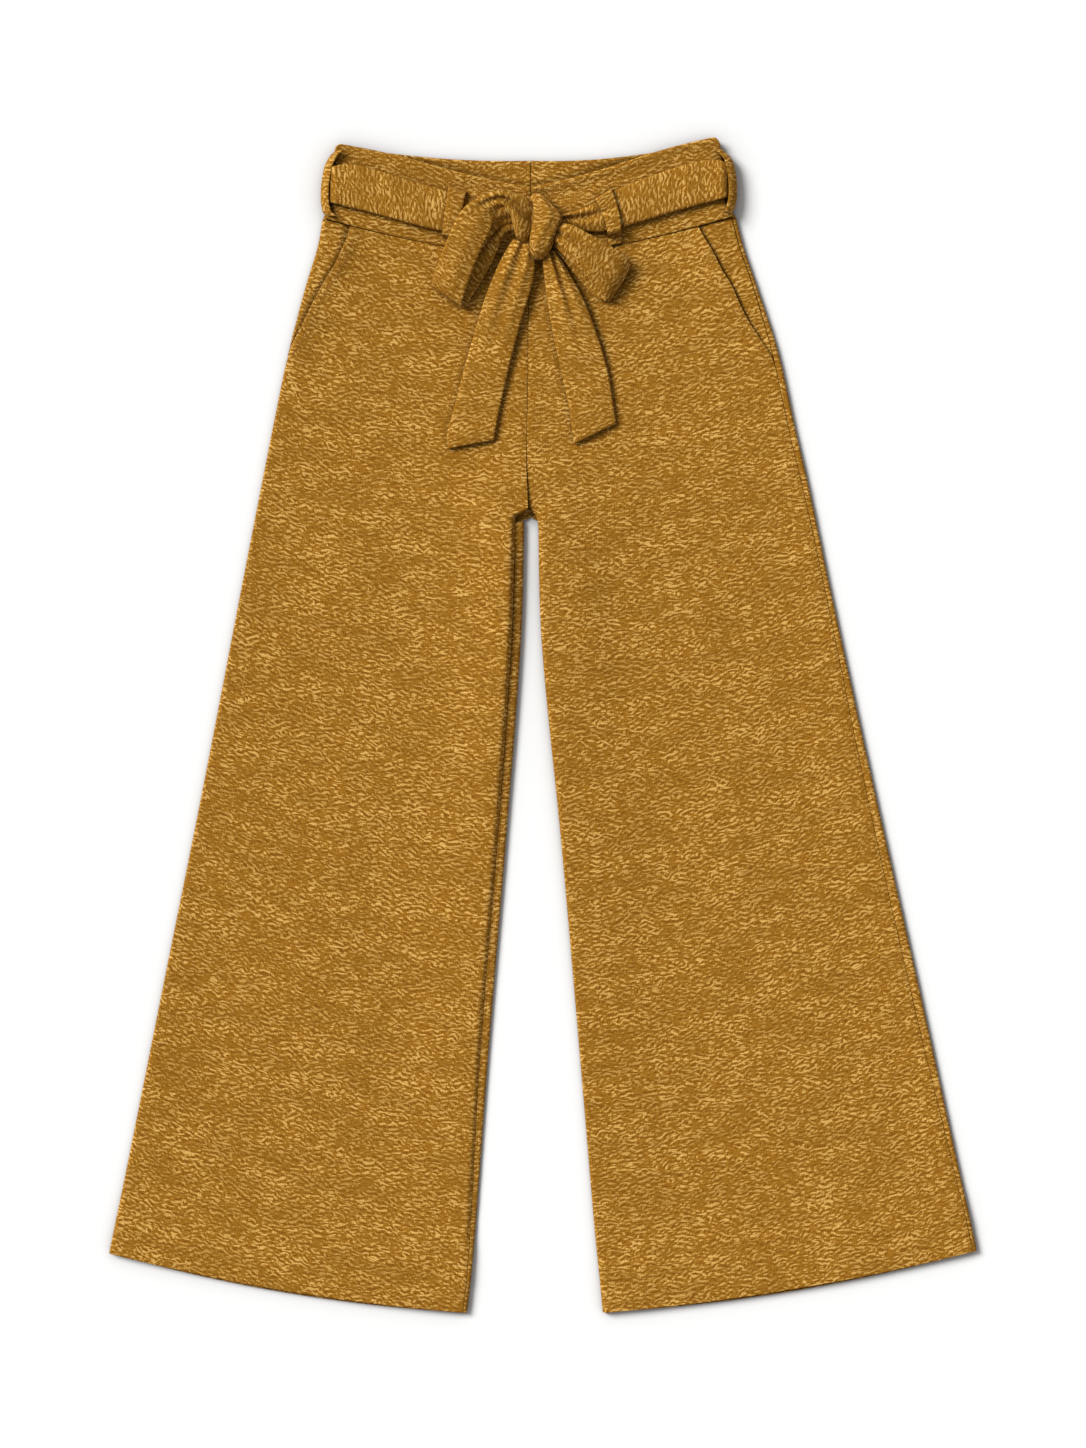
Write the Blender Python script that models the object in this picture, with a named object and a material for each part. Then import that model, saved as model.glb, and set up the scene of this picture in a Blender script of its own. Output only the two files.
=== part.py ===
"""Wide-legged palazzo trousers with a tied belt, lying flat with the front up.

The trousers are modelled as they are sewn: two front and two back leg panels, a side piece behind each
pocket mouth, a waistband in four quarters, four belt loops, and one belt, which is cut into the stretches
that show: round the back, across each front, the knot, the two bow loops and the two tails.

All sizes below are in millimetres. A "reach" is a distance from the centre line towards the leg's own
side, a "level" is a height above the lowest point of the hems, measured up the garment, and a height is
measured up from the floor. Left is -X, as the front is seen from above.
"""

import math

import bmesh
import bpy
from mathutils import Vector

MM = 0.001

# ---- cloth ----
CLOTH = 1.5  # one layer of the knit
DOUBLED = 2.6  # two pressed layers: waistband and belt
HEM_WALL = 3.0  # panel with its turn-up behind it
HEM_DEPTH = 27.0
SEAM_GAP = 0.3  # between pieces that are sewn edge to edge
LYING_GAP = 0.5  # between pieces that lie on each other
UNDER = 1.8  # how far a hidden seam lies in under the fold

# ---- legs, row by row from the waist seam to the hem ----
LEG_COLUMNS = (
    "outer_level outer_reach front_level back_level seam_reach fold_reach "
    "outer_fold inner_fold crown seam_inset"
)
LEFT_LEG = (
    # outer          inner ends of the row         heights of the folds and middle
    (985.0, 187.8, 949.5, 973.8, 0.0, 6.0, 6.0, 5.4, 5.4, 9.0),  # waist seam
    (960.0, 192.2, 927.0, 947.0, 1.2, 6.0, 5.6, 5.1, 5.0, 9.0),  # pocket mouth
    (925.0, 202.8, 897.0, 911.0, 2.5, 6.0, 5.4, 4.9, 4.7, 9.0),  # below the waist
    (865.0, 218.4, 840.0, 846.0, 2.8, 6.0, 5.2, 5.0, 4.3, 9.0),  # hip
    (795.0, 232.9, 773.0, 775.0, 4.2, 6.0, 5.0, 5.8, 4.2, 8.6),  # seat
    (747.0, 242.4, 723.6, 723.6, 2.5, 6.0, 5.0, 6.6, 4.2, 8.0),  # fork
    (640.0, 263.2, 606.0, 606.0, 2.5, 9.0, 5.0, 6.6, 4.1, 7.4),  # thigh
    (470.0, 296.0, 425.0, 425.0, 2.5, 22.5, 5.0, 5.8, 4.0, 7.2),  # knee
    (290.0, 332.2, 240.0, 240.0, 2.5, 37.8, 5.0, 5.2, 4.0, 7.4),  # calf
    (125.0, 365.2, 73.0, 73.0, 2.5, 50.2, 5.2, 5.2, 4.4, 4.5),  # above the hem
    (83.5, 373.8, 30.0, 30.0, 2.5, 54.0, 6.8, 6.8, 6.5, 3.8),  # top of the hem
    (54.0, 379.8, 0.4, 0.4, 2.5, 57.6, 6.9, 6.9, 6.7, 3.7),  # hem edge
)
RIGHT_LEG = (
    (987.0, 184.5, 949.5, 973.8, 0.0, 6.3, 6.0, 5.4, 5.4, 3.8),  # waist seam
    (960.0, 191.2, 927.0, 947.0, -1.2, 6.3, 5.6, 5.1, 5.0, 3.4),  # pocket mouth
    (925.0, 203.2, 897.0, 911.0, -2.5, 6.3, 5.4, 4.9, 4.7, 3.3),  # below the waist
    (865.0, 222.8, 840.0, 846.0, -2.8, 6.3, 5.2, 5.0, 4.3, 5.6),  # hip
    (795.0, 238.4, 773.0, 775.0, -4.2, 6.3, 5.0, 5.6, 4.2, 6.0),  # seat
    (747.0, 249.6, 723.6, 723.6, -2.5, 6.3, 5.0, 6.2, 4.2, 5.6),  # fork
    (640.0, 272.2, 606.0, 606.0, -2.5, 9.4, 5.0, 6.2, 4.1, 5.0),  # thigh
    (470.0, 309.6, 425.0, 425.0, -2.5, 27.0, 5.0, 5.4, 4.0, 7.6),  # knee
    (290.0, 350.2, 240.0, 240.0, -2.5, 43.2, 5.0, 5.0, 4.0, 8.0),  # calf
    (126.0, 386.2, 73.0, 73.0, -2.5, 57.4, 5.2, 5.2, 4.4, 4.5),  # above the hem
    (86.0, 395.2, 30.0, 30.0, -2.5, 61.8, 6.8, 6.8, 6.5, 3.8),  # top of the hem
    (56.4, 401.4, 0.6, 0.6, -2.5, 64.6, 6.9, 6.9, 6.7, 3.7),  # hem edge
)
ROW_SAG = 7.0  # how far the middle of a row hangs below its ends
BACK_HEM_DROP = 2.6  # the back hem peeps out below the front one
OUTER_SPREAD = 22.0  # how far the roundness of a fold reaches into the panel
INNER_SPREAD = 58.0

# Levels, at the inner end of a row, where a panel passes from the centre seam to the leg's inner fold.
FORK_COLUMNS = "panel starts ends"
FORK = (
    ("front_left", 723.6, 717.0),
    ("back_left", 724.0, 692.0),
    ("front_right", 732.0, 700.0),
    ("back_right", 716.5, 711.0),
)

# ---- pocket mouths: width of the side piece and how far the mouth gapes ----
POCKET_COLUMNS = "level mouth gape"
LEFT_POCKET = (
    (985.0, 34.0, 0.0),
    (971.0, 32.0, 2.2),
    (960.0, 28.8, 2.0),
    (950.0, 27.2, 1.4),
    (939.0, 24.2, 1.0),
    (928.0, 21.2, 0.7),
    (906.0, 16.4, 0.3),
    (884.0, 11.8, 0.1),
    (866.0, 5.5, 0.0),
    (856.0, 0.0, 0.0),
)
RIGHT_POCKET = (
    (988.0, 31.0, 0.0),
    (974.0, 27.4, 1.0),
    (962.0, 23.8, 0.9),
    (945.0, 21.3, 0.5),
    (930.0, 17.8, 0.3),
    (908.5, 15.2, 0.2),
    (891.5, 11.2, 0.1),
    (876.0, 5.6, 0.0),
    (865.0, 1.4, 0.0),
    (859.0, 0.0, 0.0),
)
TUCK = 12.0  # side piece hidden behind the mouth
TUCK_ENDS = 885.0  # level where the tuck has run out
TUCK_FADE = 18.0
LIFT_ENDS = 857.0  # level where the panel is down on the side piece's own surface
LIFT_FADE = 10.0
LIFT_REACH = 30.0
DROP_STARTS = 960.0  # the side piece sinks under the panel as they near the waist seam
DROP_FADE = 20.0
POCKET_END = {-1: 861.5, 1: 869.0}  # level at which the side piece stops

# ---- waistband ----
BAND_HEIGHT = 63.6
BAND_FOOT = {-1: 986.3, 1: 988.8}  # level of the band's lower edge at each side
BAND_HEAD = {-1: 1053.0, 1: 1059.5}
HEAD_CORNER = {-1: 4.5, 1: 7.0}  # how far the top corners are rounded down
CORNER_REACH = 6.5
BAND_SIDE_COLUMNS = "level reach"
BAND_SIDE = {
    -1: ((986.0, 187.3), (991.0, 182.6), (998.0, 179.2), (1017.0, 178.4), (1040.0, 177.4), (1053.0, 176.4)),
    1: ((988.0, 183.4), (993.5, 178.6), (1000.5, 175.4), (1017.0, 174.6), (1040.0, 172.6), (1059.5, 170.0)),
}
FRONT_CENTRE = 949.5 + SEAM_GAP  # level of the band's lower edge at the centre
BACK_CENTRE = 973.8 + SEAM_GAP
FRONT_DIP = 6.0
BACK_HEAD_DIP = {-1: 5.5, 1: 7.5}
HEAD_WAVE = 1.7  # the front's top edge rises beside the hip and dips towards the centre
SIDE_PUFF = 1.0  # roundness at the band's side folds
SIDE_PUFF_REACH = 20.0

# ---- belt ----
BELT_COLUMNS = "reach top bottom"
BELT_FRONT = {
    -1: (
        (182.4, 1030.0, 998.4),
        (163.0, 1033.2, 994.1),
        (136.0, 1026.9, 987.3),
        (100.0, 1016.1, 977.4),
        (73.0, 1008.0, 971.1),
        (46.0, 1000.8, 965.7),
        (23.0, 997.0, 967.5),
        (-1.0, 993.4, 974.0),
    ),
    1: (
        (178.4, 1034.2, 1003.0),
        (161.0, 1037.3, 999.0),
        (134.0, 1031.4, 991.8),
        (98.0, 1018.8, 981.0),
        (76.0, 1009.8, 974.7),
        (62.0, 1000.8, 972.0),
        (44.0, 992.7, 973.4),
        (24.8, 987.4, 977.2),
    ),
}
BELT_BACK = {-1: (1030.0, 999.2), 0: (1021.0, 986.8), 1: (1034.2, 1003.8)}  # top and bottom levels
BELT_RISE_FROM = 1.5  # height up the back band where it starts to climb over the belt
BELT_RISE_RUN = 8.5
BELT_FALL_FROM = 49.0
BELT_FALL_RUN = 14.0
BELT_FALL_SHARE = 0.4
FRONT_RISE_FROM = -17.0  # the front band climbs sooner, in one slow slope
FRONT_RISE_RUN = 24.0
FRONT_LOW = 3.4  # underside of the front band over the leg's back layer

BELT_JOIN = 3.0  # from the foot of the side fold to where the back stretch starts
BELT_BACK_INSET = 9.7

# ---- belt loops ----
LOOP_THICKNESS = 1.8
FRONT_LOOP_COLUMNS = "level inner outer"
FRONT_LOOPS = {
    -1: ((1012.6, 57.5, 74.0), (985.0, 63.0, 77.5), (958.5, 67.5, 81.0)),
    1: ((1011.8, 72.0, 57.0), (985.0, 79.5, 66.0), (960.5, 82.0, 70.0)),
}
LOOP_CLIMB = 3.0  # run over which a loop climbs onto the belt
LOOP_CLEARS = {"top": 1.6, "foot": 2.8}  # how far past the belt's edges it stays up
SIDE_LOOP_COLUMNS = "level reach"
SIDE_LOOPS = {
    -1: (
        (1041.5, 179.9),
        (1033.5, 185.0),
        (1026.0, 187.0),
        (1013.0, 188.9),
        (1001.0, 189.1),
        (995.0, 188.3),
        (989.5, 186.3),
    ),
    1: (
        (1044.0, 174.6),
        (1037.5, 181.0),
        (1030.0, 183.4),
        (1018.0, 185.1),
        (1005.0, 185.3),
        (999.0, 184.4),
        (992.0, 182.2),
    ),
}
SIDE_LOOP_RADIUS = 8.8
SIDE_LOOP_MIDDLE = 6.9  # height of the middle of its curve
SIDE_LOOP_TURNS = (math.radians(-42.0), math.radians(70.0))

# ---- knot, bow and tails ----
KNOT_COLUMNS = "level centre half_width floor top"
KNOT = (
    (1005.5, 6.5, 3.0, 9.4, 16.0),
    (1001.0, 7.8, 7.5, 9.2, 20.0),
    (993.5, 11.0, 11.5, 9.2, 23.5),
    (984.0, 13.8, 13.4, 9.2, 25.5),
    (974.0, 13.4, 13.4, 9.2, 26.0),
    (965.0, 11.0, 12.0, 9.6, 25.0),
    (956.0, 8.6, 9.8, 10.8, 22.0),
    (949.5, 7.2, 6.4, 11.4, 18.0),
    (946.5, 6.6, 2.8, 11.8, 15.0),
)
KNOT_FACETS = 14
BOW_COLUMNS = "ax ay az bx by bz"
BOW_WALL = 2.4
BOW_LOOPS = {
    # Two edges of the ribbon: a is the upper one, b the lower one. From the knot out underneath and back on top.
    "left": (
        (-0.5, 990.0, 13.8, -0.7, 969.0, 13.4),
        (-30.0, 982.0, 14.8, -22.0, 960.5, 13.4),
        (-55.0, 970.0, 15.8, -33.0, 946.0, 11.6),
        (-73.0, 946.0, 12.6, -44.0, 926.0, 8.6),
        (-84.5, 926.5, 8.8, -56.0, 909.5, 6.6),
        (-90.0, 923.0, 11.5, -60.5, 903.5, 9.5),
        (-87.5, 932.0, 18.5, -61.0, 911.0, 16.0),
        (-76.0, 961.0, 23.0, -46.0, 951.0, 19.5),
        (-62.0, 989.0, 26.0, -35.5, 971.0, 20.0),
        (-46.0, 1000.5, 27.5, -30.0, 987.5, 20.0),
        (-29.0, 1005.0, 27.0, -23.0, 994.0, 18.5),
        (-14.0, 1000.0, 25.0, -14.0, 988.0, 17.5),
        (-0.4, 991.5, 21.5, -0.6, 976.0, 17.2),
    ),
    "right": (
        (27.8, 977.0, 13.4, 22.2, 958.0, 12.4),
        (53.0, 963.0, 11.2, 40.5, 937.0, 8.8),
        (78.0, 949.5, 8.2, 57.0, 917.5, 6.6),
        (90.0, 944.0, 10.5, 70.5, 909.5, 9.0),
        (84.0, 951.0, 17.0, 65.0, 915.5, 15.5),
        (58.5, 965.5, 21.0, 47.0, 933.5, 17.5),
        (38.0, 976.5, 21.0, 29.5, 949.5, 17.5),
        (28.0, 980.0, 19.5, 23.2, 959.0, 17.0),
    ),
}
TAIL_COLUMNS = "lx ly rx ry loft"
TAIL_WALL = 2.4
TAILS = {
    "left": (
        (-16.0, 966.0, 3.4, 959.5, 1.2),
        (-27.5, 946.5, 3.6, 940.0, 1.6),
        (-39.5, 918.0, 0.0, 920.5, 1.2),
        (-47.5, 893.5, -9.5, 889.0, 0.6),
        (-58.5, 856.0, -19.5, 850.5, 0.2),
        (-68.5, 817.5, -27.0, 817.5, 0.1),
        (-75.5, 793.0, -30.0, 803.0, 0.1),
        (-74.8, 777.8, -33.0, 785.5, 0.1),
    ),
    "right": (
        (9.0, 956.0, 22.0, 956.0, 1.2),
        (11.0, 940.5, 33.0, 937.5, 1.6),
        (14.5, 911.5, 47.5, 911.5, 1.2),
        (20.0, 880.0, 60.5, 877.5, 0.5),
        (27.0, 847.0, 69.5, 847.0, 0.2),
        (33.5, 817.5, 74.0, 820.0, 0.1),
        (38.7, 782.0, 76.8, 800.5, 0.1),
    ),
}

# ---- how finely the panels are divided: distances along the cloth from each end of a row ----
FOLDED_STEPS = (0.0, 1.5, 3.0, 4.5, 6.0, 7.6, 9.4, 13.0, 22.0, 36.0)
FLAT_STEPS = (0.0, 9.0, 30.0)
INSEAM_STEPS = (0.0, 4.0, 10.0, 22.0, 44.0, 72.0)
INNER_FOLDED_STEPS = (0.0, 1.9, 3.8, 5.6, 7.4, 9.2, 11.0, 13.5, 18.0, 34.0, 62.0)
BAND_STEPS = (0.0, 1.5, 3.0, 4.5, 8.0, 14.0, 22.0, 34.0)
BAND_ROWS = (0.0, 0.07, 0.14, 0.22, 0.34, 0.5, 0.66, 0.8, 0.9, 1.0)
GUIDE = 1.5  # past a seam, to find which way the cloth faces there

KNIT = (0.376, 0.181, 0.023)  # mustard marl, as a linear colour
KNIT_ROUGHNESS = 0.85


def table(columns, rows):
    """Rows with named columns."""
    return [dict(zip(columns.split(), row)) for row in rows]


def smooth_curve(points, place):
    """Height at `place` of a smooth curve through (place, height) points, level past its ends."""
    points = sorted(points)
    places = [point[0] for point in points]
    heights = [point[1] for point in points]
    if place <= places[0]:
        return heights[0]
    if place >= places[-1]:
        return heights[-1]
    after = next(i for i, at in enumerate(places) if at >= place)
    before = after - 1
    slopes = []
    for i in (before, after):
        low, high = max(i - 1, 0), min(i + 1, len(places) - 1)
        slopes.append((heights[high] - heights[low]) / (places[high] - places[low]))
    span = places[after] - places[before]
    t = (place - places[before]) / span
    return (
        heights[before] * (1 + 2 * t) * (1 - t) ** 2
        + heights[after] * t * t * (3 - 2 * t)
        + span * (slopes[0] * t * (1 - t) ** 2 - slopes[1] * t * t * (1 - t))
    )


def read(rows, key, place):
    """Every column of a table at `place` on column `key`."""
    return {
        column: smooth_curve([(row[key], row[column]) for row in rows], place)
        for column in rows[0]
        if isinstance(rows[0][column], (int, float))
    }


def ease(t):
    """0 to 1 with level ends."""
    t = min(max(t, 0.0), 1.0)
    return t * t * (3 - 2 * t)


def blend(a, b, t):
    return a + (b - a) * t


def spread(first, last, count):
    """`count` evenly spaced values from first to last."""
    return [blend(first, last, i / (count - 1)) for i in range(count)]


LEGS = {
    -1: {"side": -1, "name": "left", "rows": table(LEG_COLUMNS, LEFT_LEG), "shown_seam": "inner"},
    1: {"side": 1, "name": "right", "rows": table(LEG_COLUMNS, RIGHT_LEG), "shown_seam": "outer"},
}
POCKETS = {
    -1: table(POCKET_COLUMNS, LEFT_POCKET),
    1: table(POCKET_COLUMNS, RIGHT_POCKET),
}


# ---- leg sections ----
def leg_row(leg, level, layer):
    """The section of a leg that leaves the outer fold at `level`, for its front or its back layer."""
    row = read(leg["rows"], "outer_level", level)
    side = leg["side"]
    row["outer"] = Vector((side * row["outer_reach"], level))
    row["inner"] = Vector((side * row["fold_reach"], row[layer + "_level"]))
    row["length"] = (row["inner"] - row["outer"]).length
    seam = row["seam_reach"] if layer == "front" else 0.0
    row["past_fold"] = row["fold_reach"] - seam
    row["sag"] = ROW_SAG
    if layer == "back" and row["back_level"] > row["front_level"]:
        row["sag"] = blend(ROW_SAG, 0.0, ease((row["back_level"] - row["front_level"]) / 20.0))
    return row


def in_plan(row, along):
    """Plan point of a section, `along` millimetres in from its outer fold."""
    t = along / row["length"]
    point = row["outer"].lerp(row["inner"], t)
    return point.x, point.y - row["sag"] * 4 * t * (1 - t)


def top_height(row, along):
    """Height of the upper layer: round near each fold, and lower between them."""
    from_outer = max(along - row["outer_fold"] / 2, 0.0)
    from_inner = max(row["length"] - along - row["inner_fold"] / 2, 0.0)
    outer = (row["outer_fold"] - row["crown"]) * math.exp(-((from_outer / OUTER_SPREAD) ** 2))
    inner = (row["inner_fold"] - row["crown"]) * math.exp(-((from_inner / INNER_SPREAD) ** 2))
    return row["crown"] + outer + inner


def round_fold(arc, low, high):
    """Distance in from the fold and height, `arc` round it: 0 where the fold meets the upper layer,
    negative down round the fold and on under it."""
    radius = (high - low) / 2
    turn = min(-arc / radius, math.pi)
    under = max(-arc - math.pi * radius, 0.0)
    return radius * (1 - math.sin(turn)) + under, low + radius * (1 + math.cos(turn))


def ring_point(row, arc, fold):
    """Distance in from the outer fold and height at `arc` round the leg, read from one of its folds."""
    size = row[fold + "_fold"]
    if arc >= 0:
        inward, height = size / 2 + arc, None
    else:
        inward, height = round_fold(arc, 0.0, size)
    along = inward if fold == "outer" else row["length"] - inward
    return along, top_height(row, along) if height is None else height


def seam_arc(leg, row, fold):
    """Where a leg's seam lies round the fold: on top, or just in under the fold."""
    radius = row[fold + "_fold"] / 2
    if leg["shown_seam"] != fold:
        return -(math.pi * radius + UNDER)
    inset = row["seam_inset"]
    if inset >= radius:
        return inset - radius
    return -radius * math.asin(1 - inset / radius)


def past_fork(leg, layer, row):
    """0 above the fork, where a panel ends at the centre seam, and 1 below it, at the inseam."""
    fork = {entry["panel"]: entry for entry in table(FORK_COLUMNS, FORK)}[f"{layer}_{leg['name']}"]
    level = row[layer + "_level"]
    return ease((fork["starts"] - level) / (fork["starts"] - fork["ends"]))


def inner_point(leg, row, layer, step):
    """Point of a panel `step` millimetres of cloth from its inner end."""
    sign = 1 if layer == "front" else -1
    end = seam_arc(leg, row, "inner") + sign * SEAM_GAP / 2
    folded = ring_point(row, end + sign * step, "inner")
    along = row["length"] + row["past_fold"] - SEAM_GAP / 2 - step
    height = top_height(row, along) if layer == "front" else 0.0
    t = past_fork(leg, layer, row)
    return blend(along, folded[0], t), blend(height, folded[1], t)


# ---- pocket mouth ----
def pocket(leg, level):
    """The pocket mouth at a level: its width, gape, tuck, lift and drop."""
    mouth = read(POCKETS[leg["side"]], "level", level)
    mouth["tuck"] = blend(-2 * SEAM_GAP, TUCK, ease((level - TUCK_ENDS) / TUCK_FADE))
    mouth["lift"] = (CLOTH + SEAM_GAP) * ease((level - LIFT_ENDS) / LIFT_FADE)
    mouth["drop"] = (CLOTH + SEAM_GAP) * ease((level - DROP_STARTS) / DROP_FADE)
    return mouth


def panel_start(leg, row, level):
    """Where the front panel starts round the outer fold: at the side seam or the pocket mouth."""
    return seam_arc(leg, row, "outer") + SEAM_GAP / 2 + pocket(leg, level)["mouth"]


def pocket_rise(leg, row, level, along):
    """How far the front panel stands over the leg's own surface near its pocket mouth."""
    mouth = pocket(leg, level)
    start = panel_start(leg, row, level)
    arc = along - row["outer_fold"] / 2
    from_mouth = arc - start
    on_top = min(max(arc, 0.0), 1.0)
    lift = mouth["lift"] * (1 - ease((from_mouth - mouth["tuck"] - 2.0) / LIFT_REACH))
    gape = mouth["gape"] * (1 - ease(from_mouth / (TUCK + 6.0)))
    return on_top * (lift + gape - mouth["drop"] * (1 - ease((from_mouth - TUCK) / LIFT_REACH)))


# ---- waist: heights of what lies under the band and the belt ----
def band_fraction(side, x):
    """0 at the centre and 1 at the side fold."""
    return min(max(side * x / BAND_SIDE[side][0][1], 0.0), 1.0)


def above_back_seam(x, y):
    """Height up the back waistband of a plan point."""
    side = -1 if x < 0 else 1
    return y - blend(BACK_CENTRE, BAND_FOOT[side], band_fraction(side, x))


def front_seam_level(x):
    side = -1 if x < 0 else 1
    t = band_fraction(side, x)
    return blend(FRONT_CENTRE, BAND_FOOT[side], t) - FRONT_DIP * 4 * t * (1 - t)


def belt_rise(up):
    """How far the back band is lifted by the belt that runs under it."""
    climb = ease((up - BELT_RISE_FROM) / BELT_RISE_RUN)
    fall = BELT_FALL_SHARE * ease((up - BELT_FALL_FROM) / BELT_FALL_RUN)
    return (DOUBLED + LYING_GAP) * climb * (1 - fall)


def band_front_under(x, y):
    """Underside of the front waistband, over the back layers."""
    up = above_back_seam(x, y)
    slope = ease((up - FRONT_RISE_FROM) / FRONT_RISE_RUN)
    over_belt = 2 * DOUBLED + 2 * LYING_GAP
    fall = BELT_FALL_SHARE * (DOUBLED + LYING_GAP) * ease((up - BELT_FALL_FROM) / BELT_FALL_RUN)
    return blend(FRONT_LOW, over_belt, slope) - fall


def band_front_top(x, y):
    side = -1 if x < 0 else 1
    inward = BAND_SIDE[side][0][1] - side * x
    return band_front_under(x, y) + DOUBLED + SIDE_PUFF * math.exp(-((inward / SIDE_PUFF_REACH) ** 2))


def leg_top(x, y):
    """Top of the front panels at a plan point."""
    leg = LEGS[-1 if x < 0 else 1]
    low, high = 0.0, leg["rows"][0]["outer_level"] + 60.0
    for _ in range(18):
        level = (low + high) / 2
        row = leg_row(leg, level, "front")
        reach = blend(0, 1, (leg["side"] * x - row["outer_reach"]) / (row["fold_reach"] - row["outer_reach"]))
        if in_plan(row, reach * row["length"])[1] > y:
            high = level
        else:
            low = level
    return top_height(row, reach * row["length"])


def front_top(x, y):
    """Top of the trousers' front, waistband or panel, at a plan point."""
    over_seam = ease((y - front_seam_level(x) + 3.0) / 3.0)
    if over_seam == 1.0:
        return band_front_top(x, y)
    return blend(leg_top(x, y), band_front_top(x, y), over_seam)


# ---- solids ----
def knit_material(name):
    material = bpy.data.materials.new(name + "_knit")
    material.use_nodes = True
    shader = material.node_tree.nodes["Principled BSDF"]
    shader.inputs["Base Color"].default_value = (*KNIT, 1.0)
    shader.inputs["Roughness"].default_value = KNIT_ROUGHNESS
    shader.inputs["Metallic"].default_value = 0.0
    return material


def place_object(name, bm, garment):
    mesh = bpy.data.meshes.new(name)
    bm.to_mesh(mesh)
    bm.free()
    mesh.materials.append(knit_material(name))
    mesh.shade_smooth()
    piece = bpy.data.objects.new(name, mesh)
    garment.objects.link(piece)
    return piece


def direction(before, here, after):
    """Which way a line of points runs at one of them; the nearer neighbour counts for more."""
    total = Vector()
    for a, b in ((before, here), (here, after)):
        if a is not None and b is not None:
            total += (b - a) / max((b - a).length_squared, 1e-6)
    return total


def facings(grid):
    """The cloth's facing at every point of a grid."""
    normals = []
    last_row, last_column = len(grid) - 1, len(grid[0]) - 1
    for r, row in enumerate(grid):
        line = []
        for c, here in enumerate(row):
            across = direction(row[c - 1] if c else None, here, row[c + 1] if c < last_column else None)
            down = direction(
                grid[r - 1][c] if r else None, here, grid[r + 1][c] if r < last_row else None
            )
            line.append(down.cross(across).normalized())
        normals.append(line)
    return normals


def cloth_piece(name, rows, walls, garment, outside=(0, 0, 1), guided=False, judged_from=0):
    """A closed piece of cloth from rows of points on its outer face, with its wall behind that face.

    `walls` is its thickness, or one for each row. With `guided`, the first and last point of each row lie
    past the piece's edges and only say which way the cloth faces there. The rows from `judged_from` on
    face `outside` on the whole.
    """
    grid = [[Vector(point) for point in row] for row in rows]
    normals = facings(grid)
    total = Vector()
    for upper, lower in list(zip(grid, grid[1:]))[judged_from:]:
        for i in range(len(upper) - 1):
            total += (lower[i + 1] - upper[i]).cross(upper[i + 1] - lower[i])
    inwards = -1 if total.dot(Vector(outside)) > 0 else 1
    if isinstance(walls, float):
        walls = [walls] * len(grid)
    kept = range(1, len(grid[0]) - 1) if guided else range(len(grid[0]))
    bm = bmesh.new()
    outer, inner = [], []
    for row, line, wall in zip(grid, normals, walls):
        outer.append([bm.verts.new(row[i] * MM) for i in kept])
        inner.append([bm.verts.new((row[i] + line[i] * inwards * wall) * MM) for i in kept])
    faces = []
    for r in range(len(outer) - 1):
        for i in range(len(outer[0]) - 1):
            faces.append((outer[r][i], outer[r + 1][i], outer[r + 1][i + 1], outer[r][i + 1]))
            faces.append((inner[r][i + 1], inner[r + 1][i + 1], inner[r + 1][i], inner[r][i]))
    for i in range(len(outer[0]) - 1):
        faces.append((outer[0][i], outer[0][i + 1], inner[0][i + 1], inner[0][i]))
        faces.append((inner[-1][i], inner[-1][i + 1], outer[-1][i + 1], outer[-1][i]))
    for r in range(len(outer) - 1):
        faces.append((outer[r + 1][0], outer[r][0], inner[r][0], inner[r + 1][0]))
        faces.append((inner[r + 1][-1], inner[r][-1], outer[r][-1], outer[r + 1][-1]))
    for face in faces:
        bm.faces.new(face if inwards < 0 else face[::-1])
    return place_object(name, bm, garment)


def hemmed(levels):
    """Wall of each row of a leg panel: one layer down to the hem's turn-up."""
    return [CLOTH] * (len(levels) - 3) + [HEM_WALL] * 3


# ---- leg panels ----
def pocket_levels(leg):
    """Outer levels of the rows beside the pocket mouth, down to where the side piece stops."""
    return spread(leg["rows"][0]["outer_level"], POCKET_END[leg["side"]], 12)


def panel_levels(leg):
    """Outer levels of a panel's rows, closer together at the pocket mouth, the fork and the hem."""
    beside_pocket = pocket_levels(leg)
    hem = leg["rows"][-1]["outer_level"]
    fork = leg["rows"][5]["outer_level"]
    seat = spread(beside_pocket[-1] - 10.0, fork + 13.0, 5)
    around_fork = [fork + rise for rise in (7.0, 0.0, -6.2, -12.0, -18.0, -26.0, -36.0)]
    down = spread(fork - 60.0, hem + HEM_DEPTH + 14.0, 9)
    foot = [hem + rise for rise in (HEM_DEPTH + 2.5, HEM_DEPTH, 13.0, 0.0)]
    return beside_pocket + seat + around_fork + down + foot


def panel_row(row, outer_columns, inner_columns, between, height_between):
    """Plan and height of a section's columns, with `between` more in the open middle."""
    first, last = outer_columns[-1][0], inner_columns[0][0]
    middle = spread(first, last, between + 2)[1:-1]
    columns = outer_columns + [(along, height_between(along)) for along in middle] + inner_columns
    return [(*in_plan(row, along), height) for along, height in columns]


def front_panel(leg, garment):
    inner_steps = INNER_FOLDED_STEPS if leg["shown_seam"] == "outer" else INSEAM_STEPS
    rows = []
    levels = panel_levels(leg)
    for level in levels:
        row = leg_row(leg, level, "front")

        def risen(along, height, row=row, level=level):
            return along, height + pocket_rise(leg, row, level, along)

        start = panel_start(leg, row, level)
        outer = [risen(*ring_point(row, start + step, "outer")) for step in (-GUIDE, *FOLDED_STEPS)]
        inner = [inner_point(leg, row, "front", step) for step in (*reversed(inner_steps), -GUIDE)]
        rows.append(panel_row(row, outer, inner, 2, lambda s: risen(s, top_height(row, s))[1]))
    return cloth_piece(f"front_panel_{leg['name']}", rows, hemmed(levels), garment, guided=True)


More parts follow.
